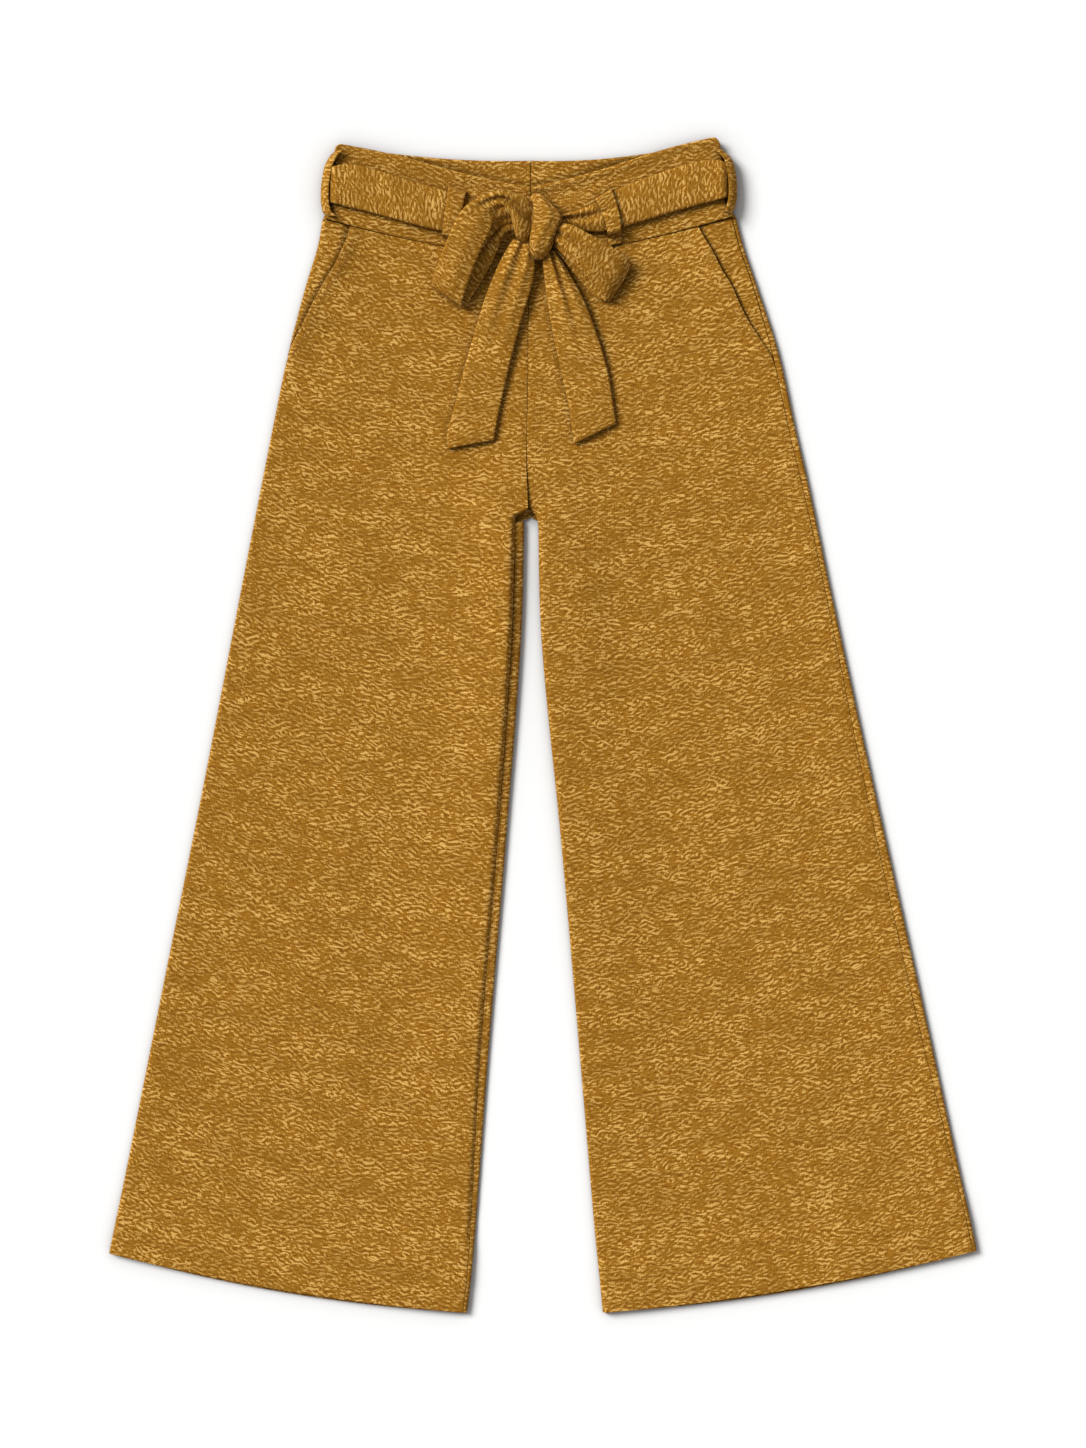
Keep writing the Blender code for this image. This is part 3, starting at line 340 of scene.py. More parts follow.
SIDE_LOOP_ROWS, SIDE_LOOP_FACETS = 34, 14

# ---- knot, bow and tails ----
KNOT_FACETS = 40
KNOT_RINGS = 34
KNOT_SQUARE = 0.85  # 1 for a round section, less for a squarer one
KNOT_RIDGES = 7
KNOT_RIDGE = 0.045  # height of the ridges, as a share of the radius
KNOT_TWIST = 9.0  # the ridges turn by one radian in this length
KNOT_FADE = 12.0  # the ridges fade out this far from its ends
KNOT_RADIUS = 14.0  # for the knit's pattern round it
KNOT_COLUMNS = "level centre half_width floor top"
KNOT = (
    (1006.5, 5.0, 2.6, 9.4, 20.0),
    (1003.0, 6.0, 6.6, 9.2, 24.0),
    (996.3, 8.8, 9.4, 9.2, 28.0),
    (989.0, 12.4, 12.6, 9.2, 30.5),
    (984.0, 14.2, 13.8, 9.2, 31.0),
    (974.0, 12.2, 12.6, 9.2, 31.0),
    (965.0, 10.0, 11.4, 9.6, 30.0),
    (956.0, 8.4, 9.6, 10.8, 27.0),
    (949.5, 7.2, 6.4, 11.4, 22.0),
    (946.5, 6.6, 2.8, 11.8, 17.0),
)
BOW_COLUMNS = "ax ay az bx by bz"
BOW_WALL = 2.4
BOW_ROWS = 76
BOW_FRONT_ROWS = 24  # its last rows, which face up
BOW_WIDTH = 26.0
BOW_WAVES = (9.0, 2.0)
BOW_SLICES = {"left": 3.0, "right": 8.0}
BOW_LOOPS = {
    # Two edges of the ribbon, a the upper one and b the lower: from the knot out underneath, and back on top.
    "left": (
        (-6.0, 986.0, 12.6, -6.0, 973.0, 12.2),
        (-24.0, 984.5, 13.4, -21.5, 972.0, 12.2),
        (-41.0, 977.0, 14.2, -28.5, 960.0, 10.8),
        (-57.0, 963.5, 14.0, -35.5, 943.5, 9.6),
        (-73.0, 946.0, 12.2, -45.5, 926.0, 8.4),
        (-84.5, 926.5, 8.8, -56.5, 909.5, 6.8),
        (-90.0, 923.0, 12.0, -60.5, 903.5, 10.0),
        (-87.5, 932.0, 20.5, -61.0, 911.0, 19.0),
        (-76.0, 961.0, 27.5, -46.0, 951.0, 25.5),
        (-62.0, 989.0, 31.0, -36.0, 971.0, 26.5),
        (-46.0, 1000.5, 32.5, -31.5, 986.0, 26.0),
        (-29.0, 1006.0, 33.0, -23.5, 991.5, 25.0),
        (-13.0, 1003.5, 31.5, -17.5, 979.0, 23.5),
        (-3.0, 1000.5, 28.0, -13.0, 966.0, 20.5),
        (4.0, 994.0, 22.0, -3.0, 961.0, 16.0),
    ),
    "right": (
        (25.0, 977.0, 12.4, 19.5, 958.0, 11.4),
        (53.0, 963.0, 10.6, 39.5, 934.5, 8.0),
        (78.0, 949.5, 8.0, 56.5, 915.0, 6.6),
        (90.0, 944.0, 10.5, 70.5, 909.5, 9.0),
        (84.0, 951.0, 19.5, 65.0, 915.5, 18.0),
        (58.5, 965.5, 25.0, 47.0, 933.5, 22.0),
        (38.0, 976.5, 25.0, 29.5, 949.5, 22.0),
        (25.0, 980.0, 22.0, 20.5, 959.0, 20.0),
    ),
}
BOW_FOLD_COLUMNS = "from to fade at ends_at width height"
BOW_FOLDS = {  # shares of the way round the loop, and across the ribbon from its upper edge
    "left": (
        (-0.2, 0.3, 0.16, 0.25, 0.3, 0.11, -2.0),  # gathers of the back layer, seen in the hollow
        (-0.2, 0.3, 0.16, 0.5, 0.5, 0.1, 1.6),
        (-0.2, 0.3, 0.16, 0.76, 0.7, 0.11, -2.2),
        (0.42, 1.2, 0.1, 0.5, 0.55, 0.34, 2.2),  # fullness of the front layer
        (0.62, 1.2, 0.12, 0.12, 0.18, 0.12, 1.8),  # the arch's two ridges
        (0.66, 1.2, 0.12, 0.34, 0.42, 0.08, -2.6),
        (0.68, 1.2, 0.1, 0.62, 0.62, 0.16, 2.6),
        (0.7, 1.2, 0.1, 0.95, 0.95, 0.09, -2.0),
    ),
    "right": (
        (-0.2, 0.4, 0.14, 0.3, 0.3, 0.14, 1.2),
        (-0.2, 0.4, 0.14, 0.7, 0.6, 0.12, -1.4),
        (0.38, 1.2, 0.1, 0.4, 0.5, 0.36, 2.2),
        (0.56, 1.2, 0.2, 0.2, 0.24, 0.1, 1.8),
        (0.56, 1.2, 0.2, 0.5, 0.42, 0.07, -2.6),
        (0.5, 1.2, 0.2, 0.8, 0.68, 0.09, 2.2),
        (0.5, 1.2, 0.2, 0.94, 0.86, 0.05, -2.0),
    ),
}
TAIL_COLUMNS = "lx ly rx ry loft"
TAIL_LOFT = 4.2  # how thick the soft tail stands
TAIL_CROWN = 0.9
TAIL_EDGE_LIFT = 1.4  # how far its edges stand off the panel
TAIL_LEAST = 0.8  # its least thickness
TAIL_ROWS = 60.0
TAIL_WAVES = 5.0
TAIL_SLICES = {"left": 2.0, "right": 6.0}
TAIL_WAVES_RUN = 0.25
TAIL_GATHER_FROM, TAIL_GATHER_RUN = 0.12, 0.5  # share of its length over which its pleats open
TAIL_PLEATS = {
    "left": ((2.2, 0.28, 0.11), (-1.2, 0.48, 0.09), (2.6, 0.74, 0.12)),
    "right": ((3.6, 0.4, 0.1), (-1.6, 0.57, 0.07), (2.8, 0.78, 0.1)),
}
TAILS = {
    "left": (
        (-16.0, 966.0, 3.4, 959.5, 3.0),
        (-27.5, 946.5, 3.6, 940.0, 4.6),
        (-39.5, 918.0, 0.0, 920.5, 3.6),
        (-47.5, 893.5, -9.5, 889.0, 2.2),
        (-58.5, 856.0, -19.5, 850.5, 0.9),
        (-68.5, 817.5, -27.0, 817.5, 0.1),
        (-75.5, 793.0, -30.0, 803.0, 0.1),
        (-74.8, 777.8, -33.0, 785.5, 0.1),
    ),
    "right": (
        (9.0, 956.0, 22.0, 956.0, 3.0),
        (11.0, 940.5, 33.0, 937.5, 4.4),
        (14.5, 911.5, 47.5, 911.5, 3.4),
        (20.0, 880.0, 60.5, 877.5, 1.8),
        (27.0, 847.0, 69.5, 847.0, 0.6),
        (33.5, 817.5, 74.0, 820.0, 0.1),
        (38.7, 782.0, 76.8, 800.5, 0.1),
    ),
}

# ---- creases: soft ridges, or troughs with a negative height, from a to b ----
CREASE_COLUMNS = "ax ay bx by width height"
FRONT_CREASES = (
    (-20.0, 735.0, -24.0, 520.0, 17.0, 1.9),  # down the left leg beside the inseam
    (-24.0, 600.0, -38.0, 380.0, 22.0, 0.9),
    (-16.0, 722.0, -52.0, 762.0, 8.0, 1.0),  # drag lines from the fork
    (-22.0, 712.0, -78.0, 730.0, 9.0, 0.8),
    (8.0, 728.0, 44.0, 700.0, 9.0, 0.8),
    (36.0, 740.0, 54.0, 520.0, 15.0, 1.1),  # down the right leg
    (74.0, 690.0, 84.0, 500.0, 14.0, -0.7),
    (-226.0, 640.0, -318.0, 150.0, 13.0, 0.7),  # inside the outer folds
    (244.0, 620.0, 344.0, 160.0, 13.0, 0.6),
    (-150.0, 560.0, -196.0, 230.0, 34.0, 0.7),  # broad waves down the legs
    (-96.0, 420.0, -128.0, 90.0, 26.0, -0.6),
    (-268.0, 420.0, -300.0, 120.0, 22.0, -0.6),
    (150.0, 600.0, 206.0, 260.0, 34.0, 0.7),
    (116.0, 400.0, 150.0, 80.0, 26.0, -0.6),
    (292.0, 430.0, 330.0, 110.0, 22.0, -0.6),
    (-150.0, 930.0, -168.0, 820.0, 16.0, 0.6),  # beside the pockets
    (150.0, 930.0, 170.0, 815.0, 16.0, 0.6),
    (-40.0, 900.0, -60.0, 800.0, 18.0, -0.5),
    (66.0, 890.0, 100.0, 790.0, 18.0, 0.5),
)
BACK_CREASES = (  # the back lies on the floor, so its creases all stand off it
    (-14.0, 712.0, -110.0, 752.0, 9.0, 0.8),
    (12.0, 708.0, 118.0, 742.0, 8.0, 0.7),
    (-22.0, 690.0, -86.0, 640.0, 7.0, 0.6),
    (24.0, 680.0, 92.0, 622.0, 8.0, 0.7),
    (-130.0, 560.0, -176.0, 180.0, 8.0, 0.7),
    (-240.0, 480.0, -300.0, 140.0, 7.0, 0.5),
    (140.0, 520.0, 206.0, 130.0, 9.0, 0.7),
    (262.0, 500.0, 320.0, 190.0, 7.0, 0.5),
    (-120.0, 925.0, -150.0, 830.0, 8.0, 0.6),
    (96.0, 915.0, 140.0, 800.0, 8.0, 0.6),
)
CREASE_WANDER = 0.25  # how far a crease wanders, as a share of its width
CREASE_BENDS = 5.0
CREASE_RISE, CREASE_FALL = 0.35, 0.45  # shares of its length over which it comes and goes
UNEVEN = 0.35  # gentle unevenness of the whole cloth
UNEVEN_ACROSS = 62.0  # size of its waves
UNEVEN_ALONG = 105.0
UNEVEN_SLICE = 4.0  # a place of the noise of its own
SEAM_DIP = 0.42  # how far a sewn edge sinks
SEAM_ROUND = 2.0  # a seam this far round the outer fold no longer sinks
INSEAM_ROLL = 0.3  # how far the front's rolled edge drops at a seam on top, as a share of the fold's height
INSEAM_ROLL_WIDTH = 2.2
INSEAM_STRIP = 0.42  # the same for the strip of the back beyond it
INSEAM_STRIP_RUN = 2.5
SEAM_DIP_WIDTH = 2.2
PUCKER = 0.22  # waviness of the cloth beside a seam
PUCKER_PITCH = 21.0
PUCKER_DRIFT, PUCKER_DRIFT_RUN = 1.7, 47.0  # the puckers come closer and further apart
PUCKER_REACH = 9.0
LYING_FADE = 1.5  # the back's creases fade out within this height of the floor

# ---- how finely the cloth is divided: distances along the cloth from each end of a row ----
FOLDED_STEPS = (
    *(0.0, 0.4, 1.0, 2.0, 3.0, 4.0, 5.0, 6.0, 7.0, 8.0),
    *(9.2, 10.5, 12.5, 15.0, 19.0, 25.0, 33.0, 44.0),
)
FLAT_STEPS = (0.0, 0.4, 1.0, 2.2, 4.0, 7.0, 12.0, 20.0, 32.0)
INSEAM_STEPS = (0.0, 0.4, 1.0, 2.2, 4.0, 6.5, 10.0, 15.0, 22.0, 31.0, 42.0, 56.0, 72.0)
INNER_FOLDED_STEPS = (
    *(0.0, 0.4, 1.2, 2.4, 3.6, 4.8, 6.0, 7.2, 8.4, 9.6),
    *(10.8, 12.2, 14.0, 17.0, 22.0, 30.0, 40.0, 52.0, 66.0),
)
OPEN_COLUMNS = 14  # columns in a panel's open middle
BACK_BAND_STEPS = (0.0, 0.4, 1.0, 2.0, 3.0, 4.0, 5.2, 6.6, 8.2, 10.5)
BAND_STEPS = (*BACK_BAND_STEPS, 14.0, 19.0, 26.0, 34.0)
BAND_FACE_FROM = {"front": 40.0, "back": 24.0}  # from the side fold to the band's evenly divided part
BAND_FACE_ENDS = 14.0  # from there to the centre seam
BAND_FACE_COLUMNS = 14
CENTRE_STEPS = (9.0, 5.0, 2.5, 1.0, 0.0)
BAND_ROWS = 22
ROW_PITCH = 8.0  # between rows down a leg
FORK_PITCH = 2.6  # the same round the fork
SEAT_ENDS, FORK_STARTS, FORK_ENDS, LEG_STARTS = 13.0, 10.0, -36.0, -40.0  # above the fork's level
LEG_ENDS = 35.0  # above the foot
FOOT_ROWS = (31.0, 29.0, 27.0, 25.0, 20.0, 14.0, 8.0, 4.0, 2.0, 0.8, 0.0)  # above the foot
POCKET_TOP_ROWS = (0.0, 0.4, 1.2, 2.6)  # below the waist seam
POCKET_ROWS_FROM, POCKET_ROWS = 4.6, 28
SIDE_PIECE_COLUMNS = 22
# Columns in the open middle of each ribbon.
RIBBON_COLUMNS = {"belt": 9, "belt_back": 7, "belt_loop": 3, "bow": 12, "tail": 13}
BELT_ROWS = {"fold": 14, "front": 54, "back": 50}
GUIDE = 1.0  # past a seam, to find which way the cloth faces there
UV_NAME = "cloth"
CUT_PLACES, CUT_PLACE = 97, 13.0  # how many places of the cloth pieces are cut from, and how far apart
STITCHED_PAST = 4.0  # how far the topstitching goes past the pocket mouth
STITCH_LEAST = 0.6  # least height of the topstitching over the floor

# ---- stage ----
KEY_FROM = (-1.3, 0.8, 1.2)  # the key light shines from here to the garment's middle
PIXEL = 0.9  # millimetres of the garment to a pixel of the frame
SEAM_COLUMN = 531.0  # pixel column of the centre seam
FOOT_ROW = 1313.4  # pixel row of the foot of the hems
SHARP_HEIGHT = 4.0  # height of the cloth at which the scale holds
FLOOR_REACH = 6.0  # metres from the middle of the floor to its edges


def table(columns, rows):
    """Rows with named columns."""
    return [dict(zip(columns.split(), row)) for row in rows]


def smooth_curve(points, place):
    """Height at `place` of a smooth curve through (place, height) points, level past its ends."""
    points = sorted(points)
    places = [point[0] for point in points]
    heights = [point[1] for point in points]
    if place <= places[0]:
        return heights[0]
    if place >= places[-1]:
        return heights[-1]
    after = next(i for i, at in enumerate(places) if at >= place)
    before = after - 1
    slopes = []
    for i in (before, after):
        low, high = max(i - 1, 0), min(i + 1, len(places) - 1)
        slopes.append((heights[high] - heights[low]) / (places[high] - places[low]))
    span = places[after] - places[before]
    t = (place - places[before]) / span
    return (
        heights[before] * (1 + 2 * t) * (1 - t) ** 2
        + heights[after] * t * t * (3 - 2 * t)
        + span * (slopes[0] * t * (1 - t) ** 2 - slopes[1] * t * t * (1 - t))
    )


def read(rows, key, place):
    """Every column of a table at `place` on column `key`."""
    return {
        column: smooth_curve([(row[key], row[column]) for row in rows], place)
        for column in rows[0]
        if isinstance(rows[0][column], (int, float))
    }


def at_row(rows, place):
    """Every column of a table at a row's number, which may lie between two rows."""
    return {
        column: smooth_curve([(i, row[column]) for i, row in enumerate(rows)], place)
        for column in rows[0]
    }


def side_of(x):
    """-1 left of the centre seam and 1 right of it."""
    return -1 if x < 0 else 1


def ease(t):
    """0 to 1 with level ends."""
    t = min(max(t, 0.0), 1.0)
    return t * t * (3 - 2 * t)


def blend(a, b, t):
    """a at 0, b at 1, and in proportion between and beyond."""
    return a + (b - a) * t


def spread(first, last, count):
    """`count` evenly spaced values from first to last."""
    return [blend(first, last, i / (count - 1)) for i in range(count)]


def finer(values, pitch):
    """The values with more between them, none further apart than pitch."""
    made = [values[0]]
    for a, b in zip(values, values[1:]):
        parts = max(1, math.ceil(abs(b - a) / pitch))
        made += [blend(a, b, (i + 1) / parts) for i in range(parts)]
    return made


def bell(distance, width):
    """1 at no distance, and falling away over the width."""
    return math.exp(-((distance / width) ** 2))


def upper_side(height):
    """0 on the under side of a fold and 1 on the side that faces up."""
    return ease((height - UPPER_SIDE) / UPPER_RUN)


LEGS = {
    -1: {"side": -1, "name": "left", "rows": table(LEG_COLUMNS, LEFT_LEG), "shown_seam": "inner"},
    1: {"side": 1, "name": "right", "rows": table(LEG_COLUMNS, RIGHT_LEG), "shown_seam": "outer"},
}
POCKETS = {
    -1: table(POCKET_COLUMNS, LEFT_POCKET),
    1: table(POCKET_COLUMNS, RIGHT_POCKET),
}
FORKS = {entry["panel"]: entry for entry in table(FORK_COLUMNS, FORK)}
CREASES = {
    "front": table(CREASE_COLUMNS, FRONT_CREASES),
    "back": table(CREASE_COLUMNS, BACK_CREASES),
}


# ---- creases ----
def relief(layer, x, y):
    """How far the creases of the front or the back lift the cloth at a plan point."""
    total = UNEVEN * noise.noise(Vector((x / UNEVEN_ACROSS, y / UNEVEN_ALONG, UNEVEN_SLICE)))
    if layer == "back":
        total = abs(total)
    for crease in CREASES[layer]:
        run_x, run_y = crease["bx"] - crease["ax"], crease["by"] - crease["ay"]
        length = math.hypot(run_x, run_y)
        from_x, from_y = x - crease["ax"], y - crease["ay"]
        t = (from_x * run_x + from_y * run_y) / length**2
        if 0.0 < t < 1.0:
            away = (from_x * run_y - from_y * run_x) / length
            away += CREASE_WANDER * crease["width"] * math.sin(CREASE_BENDS * t + crease["ax"])
            ends = ease(t / CREASE_RISE) * ease((1 - t) / CREASE_FALL)
            total += crease["height"] * ends * bell(away, crease["width"])
    return total


def seam_relief(step, along_seam):
    """How far cloth sinks and puckers `step` millimetres from a seam, at a place along it."""
    drift = PUCKER_DRIFT * math.sin(along_seam / PUCKER_DRIFT_RUN)
    wave = math.sin(2 * math.pi * along_seam / PUCKER_PITCH + drift)
    return PUCKER * wave * bell(step, PUCKER_REACH) - SEAM_DIP * bell(step, SEAM_DIP_WIDTH)


# ---- leg sections ----
def leg_row(leg, level, layer):
    """The section of a leg that leaves the outer fold at `level`, for its front or its back layer."""
    row = read(leg["rows"], "outer_level", level)
    side = leg["side"]
    row["outer"] = Vector((side * row["outer_reach"], level))
    row["inner"] = Vector((side * row["fold_reach"], row[layer + "_level"]))
    row["length"] = (row["inner"] - row["outer"]).length
    seam = row["seam_reach"] if layer == "front" else 0.0
    row["past_fold"] = row["fold_reach"] - seam
    below = leg["rows"][0]["outer_level"] - level
    row["sag"] = blend(WAIST_SAG, ROW_SAG, ease(below / WAIST_SAG_RUN))
    if layer == "back" and row["back_level"] > row["front_level"]:
        row["sag"] = blend(ROW_SAG, 0.0, ease((row["back_level"] - row["front_level"]) / BACK_SAG_RUN))
    return row


def in_plan(row, along):
    """Plan point of a section, `along` millimetres in from its outer fold."""
    t = along / row["length"]
    point = row["outer"].lerp(row["inner"], t)
    return point.x, point.y - row["sag"] * 4 * t * (1 - t)


def top_height(row, along):
    """Height of the upper layer: round near each fold, and lower between them."""
    from_outer = max(along - row["outer_fold"] / 2, 0.0)
    from_inner = max(row["length"] - along - row["inner_fold"] / 2, 0.0)
    outer = (row["outer_fold"] - row["crown"]) * bell(from_outer, OUTER_SPREAD)
    inner = (row["inner_fold"] - row["crown"]) * bell(from_inner, INNER_SPREAD)
    return row["crown"] + outer + inner


def round_fold(arc, low, high):
    """Distance in from the fold and height, `arc` round it: 0 where the fold meets the upper layer,
    negative down round the fold and on under it."""
    radius = (high - low) / 2
    turn = min(-arc / radius, math.pi)
    under = max(-arc - math.pi * radius, 0.0)
    return radius * (1 - math.sin(turn)) + under, low + radius * (1 + math.cos(turn))


def ring_point(row, arc, fold):
    """Distance in from the outer fold and height at `arc` round the leg, read from one of its folds."""
    size = row[fold + "_fold"]
    if arc >= 0:
        inward, height = size / 2 + arc, None
    else:
        inward, height = round_fold(arc, 0.0, size)
    along = inward if fold == "outer" else row["length"] - inward
    return along, top_height(row, along) if height is None else height


def seam_arc(leg, row, fold):
    """Where a leg's seam lies round the fold: on top, or just in under the fold."""
    radius = row[fold + "_fold"] / 2
    if leg["shown_seam"] != fold:
        return -(math.pi * radius + UNDER)
    inset = row["seam_inset"]
    if inset >= radius:
        return inset - radius
    return -radius * math.asin(1 - inset / radius)


def past_fork(leg, layer, row):
    """0 above the fork, where a panel ends at the centre seam, and 1 below it, at the inseam."""
    fork = FORKS[f"{layer}_{leg['name']}"]
    level = row[layer + "_level"]
    return ease((fork["starts"] - level) / (fork["starts"] - fork["ends"]))


def clear_of_hem(leg, level):
    """0 at the hem and 1 well above it."""
    return ease((level - leg["rows"][-1]["outer_level"] - HEM_CLEAR) / HEM_CLEAR)


def inseam_step(leg, row, layer):
    """Height of the inner fold where its seam shows on top, and 0 where no seam shows there."""
    if leg["shown_seam"] != "inner":
        return 0.0
    return row["inner_fold"] * past_fork(leg, layer, row) * clear_of_hem(leg, row["outer"].y)


def inner_point(leg, row, layer, step):
    """Point of a panel `step` millimetres of cloth from its inner end."""
    sign = 1 if layer == "front" else -1
    end = seam_arc(leg, row, "inner") + sign * SEAM_GAP / 2
    folded = ring_point(row, end + sign * step, "inner")
    along = row["length"] + row["past_fold"] - SEAM_GAP / 2 - step
    height = top_height(row, along) if layer == "front" else 0.0
    t = past_fork(leg, layer, row)
    return blend(along, folded[0], t), blend(height, folded[1], t)


# ---- pocket mouth ----
def pocket(leg, level):
    """The pocket mouth at a level: its width, gape, tuck, lift and drop."""
    mouth = read(POCKETS[leg["side"]], "level", level)
    mouth["tuck"] = blend(-2 * SEAM_GAP, TUCK, ease((level - TUCK_ENDS) / TUCK_FADE))
    mouth["lift"] = (CLOTH + SEAM_GAP) * ease((level - LIFT_ENDS) / LIFT_FADE)
    mouth["drop"] = (CLOTH + SEAM_GAP) * ease((level - DROP_STARTS) / DROP_FADE)
    return mouth


def panel_start(leg, row, level):
    """Where the front panel starts round the outer fold: at the side seam or the pocket mouth."""
    return seam_arc(leg, row, "outer") + SEAM_GAP / 2 + pocket(leg, level)["mouth"]


def pocket_rise(leg, row, level, along):
    """How far the front panel stands over the leg's own surface near its pocket mouth."""
    mouth = pocket(leg, level)
    start = panel_start(leg, row, level)
    arc = along - row["outer_fold"] / 2
    from_mouth = arc - start
    on_top = min(max(arc, 0.0), 1.0)
    lift = mouth["lift"] * (1 - ease((from_mouth - mouth["tuck"] - LIFT_CLEAR) / LIFT_REACH))
    gape = mouth["gape"] * (1 - ease(from_mouth / GAPE_REACH))
    return on_top * (lift + gape - mouth["drop"] * (1 - ease((from_mouth - TUCK) / LIFT_REACH)))


# ---- waist: heights of what lies under the band and the belt ----
def band_fraction(side, x):
    """0 at the centre and 1 at the side fold."""
    return min(max(side * x / BAND_SIDE[side][0][1], 0.0), 1.0)


def above_back_seam(x, y):
    """Height up the back waistband of a plan point."""
    side = side_of(x)
    return y - blend(BACK_CENTRE, BAND_FOOT[side], band_fraction(side, x))


def front_seam_level(x):
    """Level of the front's waist seam."""
    side = side_of(x)
    t = band_fraction(side, x)
    return blend(FRONT_CENTRE, BAND_FOOT[side], t) - FRONT_DIP * 4 * t * (1 - t)


def front_head_level(x):
    """Level of the front waistband's top edge."""
    side = side_of(x)
    t = band_fraction(side, x)
    return blend(FRONT_CENTRE + BAND_HEIGHT, BAND_HEAD[side], t) - HEAD_WAVE * math.sin(2 * math.pi * t)


def belt_rise(up):
    """How far the back band is lifted by the belt that runs under it."""
    climb = ease((up - BELT_RISE_FROM) / BELT_RISE_RUN)
    fall = BELT_FALL_SHARE * ease((up - BELT_FALL_FROM) / BELT_FALL_RUN)
    return (DOUBLED + LYING_GAP) * climb * (1 - fall)


def band_front_under(x, y):
    """Underside of the front waistband, over the back layers."""
    up = above_back_seam(x, y)
    slope = ease((up - FRONT_RISE_FROM) / FRONT_RISE_RUN)
    over_belt = 2 * DOUBLED + 2 * LYING_GAP
    fall = BELT_FALL_SHARE * (DOUBLED + LYING_GAP) * ease((up - BELT_FALL_FROM) / BELT_FALL_RUN)
    return blend(FRONT_LOW, over_belt, slope) - fall


def band_front_top(x, y):
    """Top of the front waistband, round beside its side folds."""
    side = side_of(x)
    inward = BAND_SIDE[side][0][1] - side * x
    return band_front_under(x, y) + DOUBLED + SIDE_PUFF * bell(inward, SIDE_PUFF_REACH)


def leg_top(x, y):
    """Top of the front panels at a plan point."""
    leg = LEGS[side_of(x)]
    low, high = 0.0, leg["rows"][0]["outer_level"] + ABOVE_WAIST
    for _ in range(HALVINGS):
        level = (low + high) / 2
        row = leg_row(leg, level, "front")
        reach = (leg["side"] * x - row["outer_reach"]) / (row["fold_reach"] - row["outer_reach"])
        if in_plan(row, reach * row["length"])[1] > y:
            high = level
        else:
            low = level
    return top_height(row, reach * row["length"]) + relief("front", x, y)


def front_top(x, y):
    """Top of the trousers' front, waistband or panel, at a plan point."""
    over_seam = ease((y - front_seam_level(x) + BAND_STEP_RUN) / BAND_STEP_RUN)
    if over_seam == 1.0:
        return band_front_top(x, y)
    return blend(leg_top(x, y), band_front_top(x, y), over_seam)


# ---- the frame's place for the garment's own measures ----
def garment_origin():
    """Where the centre seam meets the foot of the hems, in metres in the frame."""
    seam = (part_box("waistband_front_left")[1].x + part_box("waistband_front_right")[0].x) / 2
    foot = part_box("belt_back")[1].y - BELT_BACK[1][0] * MM
    return Vector((seam, foot, 0.0))


ORIGIN = garment_origin()


# ---- shells of cloth ----
def direction(before, here, after):
    """Which way a line of points runs at one of them; the nearer neighbour counts for more."""
    total = Vector()
    for a, b in ((before, here), (here, after)):
        if a is not None and b is not None:
            total += (b - a) / max((b - a).length_squared, 1e-6)
    return total


def facings(grid):
    """The cloth's facing at every point of a grid."""
    normals = []
    last_row, last_column = len(grid) - 1, len(grid[0]) - 1
    for r, row in enumerate(grid):
        line = []
        for c, here in enumerate(row):
            across = direction(row[c - 1] if c else None, here, row[c + 1] if c < last_column else None)
            down = direction(
                grid[r - 1][c] if r else None, here, grid[r + 1][c] if r < last_row else None
            )
            line.append(down.cross(across).normalized())
        normals.append(line)
    return normals


def faces_inwards(grid, outside, judged_from):
    """-1 where the grid's own facing is the cloth's outer side, so that its wall goes the other way."""
    total = Vector()
    for upper, lower in list(zip(grid, grid[1:]))[judged_from:]:
        for i in range(len(upper) - 1):
            total += (lower[i + 1] - upper[i]).cross(upper[i + 1] - lower[i])
    return -1 if total.dot(Vector(outside)) > 0 else 1


def cloth_measure(grid):
    """Where each point lies in the cut piece: millimetres across from its middle line, and down it."""
    middle = len(grid[0]) // 2
    down, places = 0.0, []
    for r, row in enumerate(grid):
        if r:
            down += (row[middle] - grid[r - 1][middle]).length
        across = [0.0] * len(row)
        for i in range(middle + 1, len(row)):
            across[i] = across[i - 1] + (row[i] - row[i - 1]).length
        for i in range(middle - 1, -1, -1):
            across[i] = across[i + 1] - (row[i] - row[i + 1]).length
        places.append([(a, -down) for a in across])
    return places


def mesh_piece(name, bm, material):
    """A finished mesh at the frame's origin, with its edges rounded by subdivision."""
    mesh = bpy.data.meshes.new(name)
    bm.to_mesh(mesh)
    bm.free()
    mesh.materials.append(material)
    mesh.shade_smooth()
    piece = bpy.data.objects.new(name, mesh)
    bpy.context.scene.collection.objects.link(piece)
    rounded = piece.modifiers.new("Rounded edges", "SUBSURF")
    rounded.levels = rounded.render_levels = 1
    return piece


def above_floor(point):
    """The same place, or the one straight above it on the floor."""
    return Vector((point.x, point.y, max(point.z, 0.0)))


